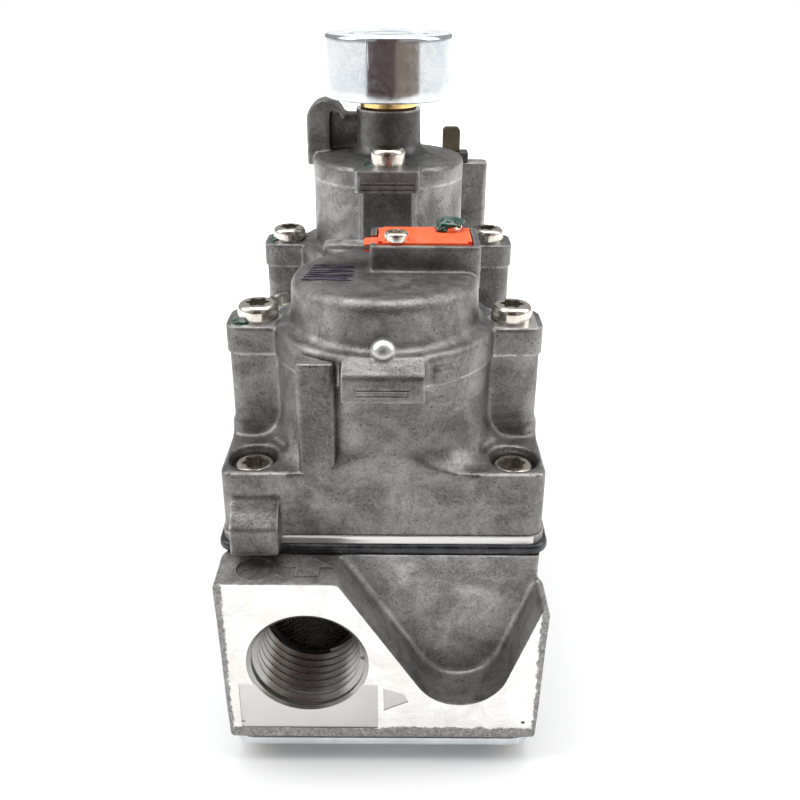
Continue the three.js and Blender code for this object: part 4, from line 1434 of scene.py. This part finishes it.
def regulator_housing():
    y = rear_y
    fillet = arc(raised_radius + 1.3, z_shoulder + 1.3, 1.3, 270, 180, 5)
    disc = cover_disc(y, [*fillet, (raised_radius - 0.1, z_lid + 3), (0, z_lid + 3)])
    across, along = (-COLUMN_HALF, COLUMN_HALF), (y - column_reach, y + column_reach)
    column = block(across, along, (z_shoulder - 1, z_lid + 3), 0.8)
    skin = cast_skin(carve(disc, add=[ear_block(y, (z_cover - 3, z_ear_top)), column]), 0.4, 3, 0.4)
    cuts = [
        block((-40, 40), (-20, 60), (z_cover - 5, z_cover)),
        block((-40, 40), (-20, 60), (z_lid, z_lid + 5)),
        rod((0, y), (z_cover - 1, z_cover + 1.4), 15.6, sides=96),
        rod((0, y), (z_cover, z_lid + 1), 10.4, sides=96),
    ]
    cuts += ear_holes(y)
    for side in (-1, 1):
        cuts.append(rod((0, y + side * LID_SCREW), (86, z_lid + 1), CLEARANCE, sides=32))
    return carve(skin, cut=cuts)


finish_piece(
    "regulator_housing_casting",
    regulator_housing(),
    "valve_body",
    [aluminium_rear],
    ["regulator_housing"],
)

# %% Regulator lid with its tower and hook
TOWER_RADIUS = 7.2
z_tab_top = z_lid + LID_SEAT


def lead_hook():
    """The hooked post; its outline is in X and Z."""
    crown = arc(-14.4, 107.0, 4.3, 180, 22, 10)
    beak = [(-9.5, 107.4), (-10.3, 107.1), (-11.3, 108.7), (-12.5, 109.2), (-13.4, 108.2)]
    return prism([(-18.7, 97), *crown, *beak, (-13.4, 97)], (27, 35), "Y")


def regulator_lid():
    y = rear_y
    profile = [
        (0, z_lid - 3),
        (raised_radius, z_lid - 3),
        *arc(raised_radius - 1.3, z_lid + 3.0, 1.3, 0, 70, 5),
        (TOWER_RADIUS + 3.6, z_lid + 4.9),
        *arc(TOWER_RADIUS + 2.6, z_lid + 7.6, 2.6, 268, 180, 6),
        (TOWER_RADIUS - 0.05, z_tower_top + 1),
        (0, z_tower_top + 1),
    ]
    lid = turned(profile, (0, y), 128)
    tabs = []
    for side in (-1, 1):
        near, far = sorted((y + side * 9, y + side * 20))
        tabs.append(block((-6.9, 6.9), (near, far), (z_lid - 3, z_tab_top), 0.9))
    links = [lead_hook(), block((-14.5, -6), (30, 35), (97, 108.0))]
    skin = cast_skin(carve(lid, add=[*tabs, *links]), 0.4, 3, 0.45)
    cuts = [
        block((-40, 40), (-20, 60), (z_lid - 5, z_lid)),
        rod((0, y), (z_tower_top, z_tower_top + 5), TOWER_RADIUS + 1, sides=64),
        rod((0, y), (z_lid - 1, z_tower_top + 1), 5.3, sides=64),
        block((-5.6, 5.6), (0, 5.35), (z_lid + 1.55, z_lid + 1.9)),
        block((-5.6, 5.6), (0, 5.35), (z_lid + 0.55, z_lid + 0.8)),
    ]
    for side in (-1, 1):
        place = (0, y + side * LID_SCREW)
        cuts.append(rod(place, (z_lid - 1, z_lid + 6), CLEARANCE, sides=32))
        cuts.append(rod(place, (z_tab_top, z_lid + 9), 4.3, sides=64))
    return carve(skin, cut=cuts)


lid_obj = finish_piece(
    "regulator_lid_casting",
    regulator_lid(),
    "valve_body",
    [aluminium_rear, milled_top, aluminium_tower_painted_shade],
    ["regulator_lid"],
)


def on_tower(centre, normal):
    return centre.z > z_lid + 5 and math.hypot(centre.x, centre.y - rear_y) < TOWER_RADIUS + 2


def on_tower_top(centre, normal):
    away = math.hypot(centre.x, centre.y - rear_y)
    return normal.z > 0.9 and centre.z > z_tower_top - 0.1 and away < TOWER_RADIUS + 0.1


# The tower's faces take the darker copy of the metal: painted shade.
repaint(lid_obj, 2, on_tower)
repaint(lid_obj, 1, on_tower_top)

# %% Adjuster's cap, its brass insert and its washer


def cap_shell():
    """The plated cap, still solid: a rolled lower edge and a softly domed top."""
    radius = box_mm("regulator_cap")[1].x
    z0, z1 = box_mm("regulator_cap")[0].z, z_cap
    profile = [
        (0, z0),
        *arc(radius - 0.45, z0 + 0.45, 0.45, -90, 0, 4),
        (radius - 0.12, z0 + 2.4),
        (radius - 0.12, z1 - 1.6),
        *arc(radius - 1.1, z1 - 1.0, 0.98, 0, 80, 6),
        (radius - 3.0, z1 - 0.12),
        (radius - 3.4, z1 - 0.3),
        (0, z1 - 0.3),
    ]
    return turned(profile, (0, rear_y), 128)


def cap_bores():
    """The insert's bore, and the wider recess round its flange."""
    z0 = box_mm("regulator_cap")[0].z
    return [rod((0, rear_y), (113, 120.7), 4.6), rod((0, rear_y), (z0 - 1, 113.5), 6.6)]


def cap_marks(z):
    """Raised plain marks on the cap's top: a ring and two bars."""
    ring = turned([(4.6, z), (5.4, z), (5.4, z + 0.3), (4.6, z + 0.3), (4.6, z)], (0, rear_y), 64)
    bars = [block((x - 0.5, x + 0.5), (rear_y - 2.6, rear_y + 2.6), (z, z + 0.3), 0.3) for x in (-8, 8)]
    return [ring, *bars]


cap = carve(cap_shell(), add=cap_marks(z_cap - 0.4), cut=cap_bores())
cap_obj = finish_piece(
    "regulator_cap_plated",
    cap,
    "regulator_cap",
    [zinc, zinc_top],
    ["regulator_cap"],
    32,
)
repaint(cap_obj, 1, lambda c, n: n.z > 0.8 and c.z > z_cap - 0.8)

WASHER = 0.3  # its thickness under the insert's flange
z_washer = z_tower_top + WASHER
insert_profile = [
    (0, 108.6),
    (4.5, 108.6),
    (4.9, 109.0),
    (4.9, z_washer),
    (6.1, z_washer),
    (6.3, z_washer + 0.2),
    (6.3, 113.2),
    (6.1, 113.4),
    (4.4, 113.4),
    (4.4, 120.6),
    (0, 120.6),
]
insert = turned(insert_profile, (0, rear_y), 96)
finish_piece("cap_insert_turned", insert, "cap_insert", [brass], ["cap_insert"], 30)
inner, outer = 5.2, 6.2
washer_profile = [
    (inner, z_tower_top),
    (outer, z_tower_top),
    (outer, z_washer),
    (inner, z_washer),
    (inner, z_tower_top),
]
washer = turned(washer_profile, (0, rear_y), 96)
finish_piece("cap_washer", washer, "cap_seal", [fibre], ["cap_seal"], 30)

# %% Rear terminals


def rear_holder():
    base = block((11, 19.4), (41, 46), (95, 97.4), 0.5)
    round_edges(base, edges_above(base, 97.3), 0.3, 3)
    slots = [block((13, 17.4), (y - 0.1, y + 0.9), (95.6, 98)) for y in REAR_BLADES]
    return carve(base, cut=slots)


def upright_blade(y):
    """A flat blade with rounded upper corners."""
    crown = [*arc(16.3, 102.1, 1.0, 0, 90, 5), *arc(14.1, 102.1, 1.0, 90, 180, 5)]
    return prism([(13.1, 95.7), (17.3, 95.7), *crown], (y, y + 0.8), "Y")


REAR_BLADES = (42.1, 44.1)
finish_piece(
    "rear_terminal_holder_moulded",
    rear_holder(),
    "valve_body",
    [black_plastic],
    ["rear_terminal_holder"],
)
for i, y in enumerate(REAR_BLADES, 1):
    name = f"rear_blade_{i}"
    blade = upright_blade(y)
    finish_piece(name + "_pressed", blade, "valve_body", [dull_blade], [name])

# %% [markdown]
# ## Inlet strainer
#
# The strainer in the inlet bore is woven from fine wire and pressed into a shallow dish. Each
# wire is one long bar cut into short lengths, then bent up and down over its neighbours.

# %% Woven strainer
STRAINER_RADIUS = 8.7
WIRE = 0.13
PITCH = 0.62


def dish(r):
    """How far the mesh is pushed towards the inlet at this distance from its axis."""
    return 2.4 * (1 - (r / STRAINER_RADIUS) ** 2)


def woven_wire(offset, number, along_x):
    half = math.sqrt(STRAINER_RADIUS**2 - offset**2) + 0.1
    bm = rod((0, 0), (-half, half), WIRE, sides=6)
    cuts = int(half * 2 / PITCH * 2) + 1
    bmesh.ops.subdivide_edges(bm, edges=[e for e in bm.edges if e.calc_length() > half], cuts=cuts)
    for v in bm.verts:
        t = v.co.z
        lift = 0.11 * math.cos(math.pi * t / PITCH + math.pi * number)
        height = -dish(math.hypot(offset, t)) + (lift if along_x else -lift)
        across = v.co.x + offset
        v.co = Vector((t, v.co.y + height, across)) if along_x else Vector((across, v.co.y + height, t))
    bmesh.ops.recalc_face_normals(bm, faces=bm.faces)
    return bm


def joined(shapes):
    """Several closed shapes put side by side in one mesh, without a Boolean."""
    whole = bmesh.new()
    for shape in shapes:
        mesh = bpy.data.meshes.new("step")
        shape.to_mesh(mesh)
        shape.free()
        whole.from_mesh(mesh)
        bpy.data.meshes.remove(mesh)
    return whole


count = int(STRAINER_RADIUS / PITCH)
wires = [woven_wire(n * PITCH, n, along) for n in range(-count, count + 1) for along in (True, False)]
hoop = turned([(8.2, -0.7), (9.05, -0.7), (9.05, 0.0), (8.2, 0.0), (8.2, -0.7)], steps=96)
rotate(hoop, -math.pi / 2, "X")
strainer = move(joined([hoop, *wires]), bore_x, -43.25, bore_z)
finish_piece("inlet_strainer_woven", strainer, "valve_body", [dark_wire], ["inlet_strainer"])

# %% [markdown]
# ## Lacquer on the set screws
#
# A dab of green lacquer shows that a screw has been set. Each dab is a squashed ball pushed
# about by noise, so that no two are alike.

# %% Green lacquer


def dab(place, size, seed):
    bm = bmesh.new()
    bmesh.ops.create_icosphere(bm, subdivisions=4, radius=1.0)
    for v in bm.verts:
        v.co *= 1 + 0.3 * noise.noise(v.co * 1.7 + Vector((seed, 0, 0)))
    bmesh.ops.scale(bm, verts=bm.verts, vec=size)
    return move(bm, *place)


dabs = [
    ((-26.8, -29.9, z_ear_top), (1.0, 1.4, 0.5)),
    ((-27.1, -26.6, z_ear_top), (0.8, 1.6, 0.45)),
    ((-26.6, -44.6, z_flange_top - FLANGE_SINK + 0.1), (1.4, 1.7, 1.1)),
    ((-27.2, 23.5, z_ear_top), (1.0, 1.8, 0.6)),
    ((-3.9, 10.6, z_tab_top), (1.1, 1.4, 0.5)),
    ((12.1, -17.6, 95.35), (2.6, 2.6, 1.0)),
    ((10.6, -19.0, 94.6), (1.3, 1.3, 0.6)),
    ((-26.2, -31.1, z_ear_top + 0.2), (1.5, 1.1, 0.6)),
    ((-20.6, -44.9, z_flange_top - FLANGE_SINK + 0.3), (1.0, 1.2, 0.8)),
    ((-27.0, 26.8, z_ear_top + 0.1), (0.9, 1.4, 0.6)),
    ((-4.3, 12.6, z_tab_top), (0.8, 1.5, 0.5)),
]
shapes = [dab(place, size, i * 3.7) for i, (place, size) in enumerate(dabs)]
finish_piece("green_lacquer_dabs", joined(shapes), "valve_body", [lacquer], sharp=60)

# %% [markdown]
# ## Springs
#
# The springs shorten when the parts below or above them move, so they can't keep their CAD
# shape. Each is round wire spun as a helix with a step along the axis, which fills the box of its
# CAD node.

# %% Return spring and bias spring


def wound_spring(node, wire, turns):
    """Round wire spun as a helix that fills the CAD node's box."""
    low, high = box_mm(node)
    per_turn = 32
    steps = per_turn * turns
    bm = bmesh.new()
    bmesh.ops.create_circle(bm, cap_ends=False, segments=10, radius=wire)
    rotate(bm, math.radians(90), "X")
    move(bm, x=(high.x - low.x) / 2 - wire - 0.02, z=low.z + wire)
    bmesh.ops.spin(
        bm,
        geom=bm.verts[:] + bm.edges[:],
        cent=(0, 0, 0),
        axis=(0, 0, 1),
        dvec=(0, 0, (high.z - low.z - 2 * wire) / steps),
        angle=2 * math.pi * turns,
        steps=steps,
        use_merge=False,
    )
    bmesh.ops.holes_fill(bm, edges=[e for e in bm.edges if e.is_boundary])
    bmesh.ops.recalc_face_normals(bm, faces=bm.faces)
    return move(bm, (low.x + high.x) / 2, (low.y + high.y) / 2)


def sprung(node, wire, turns):
    """The wound spring in place of the CAD node, with its mesh in world space."""
    low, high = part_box(node)
    ends = {"low": (low + high) / 2, "high": (low + high) / 2}
    ends["low"].z, ends["high"].z = low.z, high.z
    bm = wound_spring(node, wire, turns)
    obj = finish_piece(node + "_wound", bm, None, [zinc], [node], 60)
    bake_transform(obj)


sprung("plunger_spring", 0.5, 3)
sprung("bias_spring", 0.45, 5)

# %% [markdown]
# ## Pieces that keep their CAD shape
#
# The parts sealed inside are seen only when the valve is taken apart, and their CAD shapes are
# already right. Each takes the finish of its material.

# %% Finishes for the sealed pieces
kept = {
    rubber: ["bottom_gasket", "shutoff_seal", "regulator_seal", "front_cover_seal", "diaphragm"],
    soft_steel: [
        "plunger",
        "shutoff_disc",
        "front_pole_piece",
        "front_coil_yoke",
        "rear_coil_yoke",
        "armature",
        "diaphragm_plate",
        "regulator_disc",
    ],
    brass: ["front_guide_tube", "spring_seat", "adjusting_screw"],
    copper: ["front_coil_winding", "rear_coil_winding"],
    black_plastic: ["front_coil_bobbin", "rear_coil_bobbin"],
}
for finish, names in kept.items():
    for name in names:
        node = bpy.data.objects[name]
        node.data.materials.clear()
        node.data.materials.append(finish)
    print(finish.name, "on", len(names), "pieces")
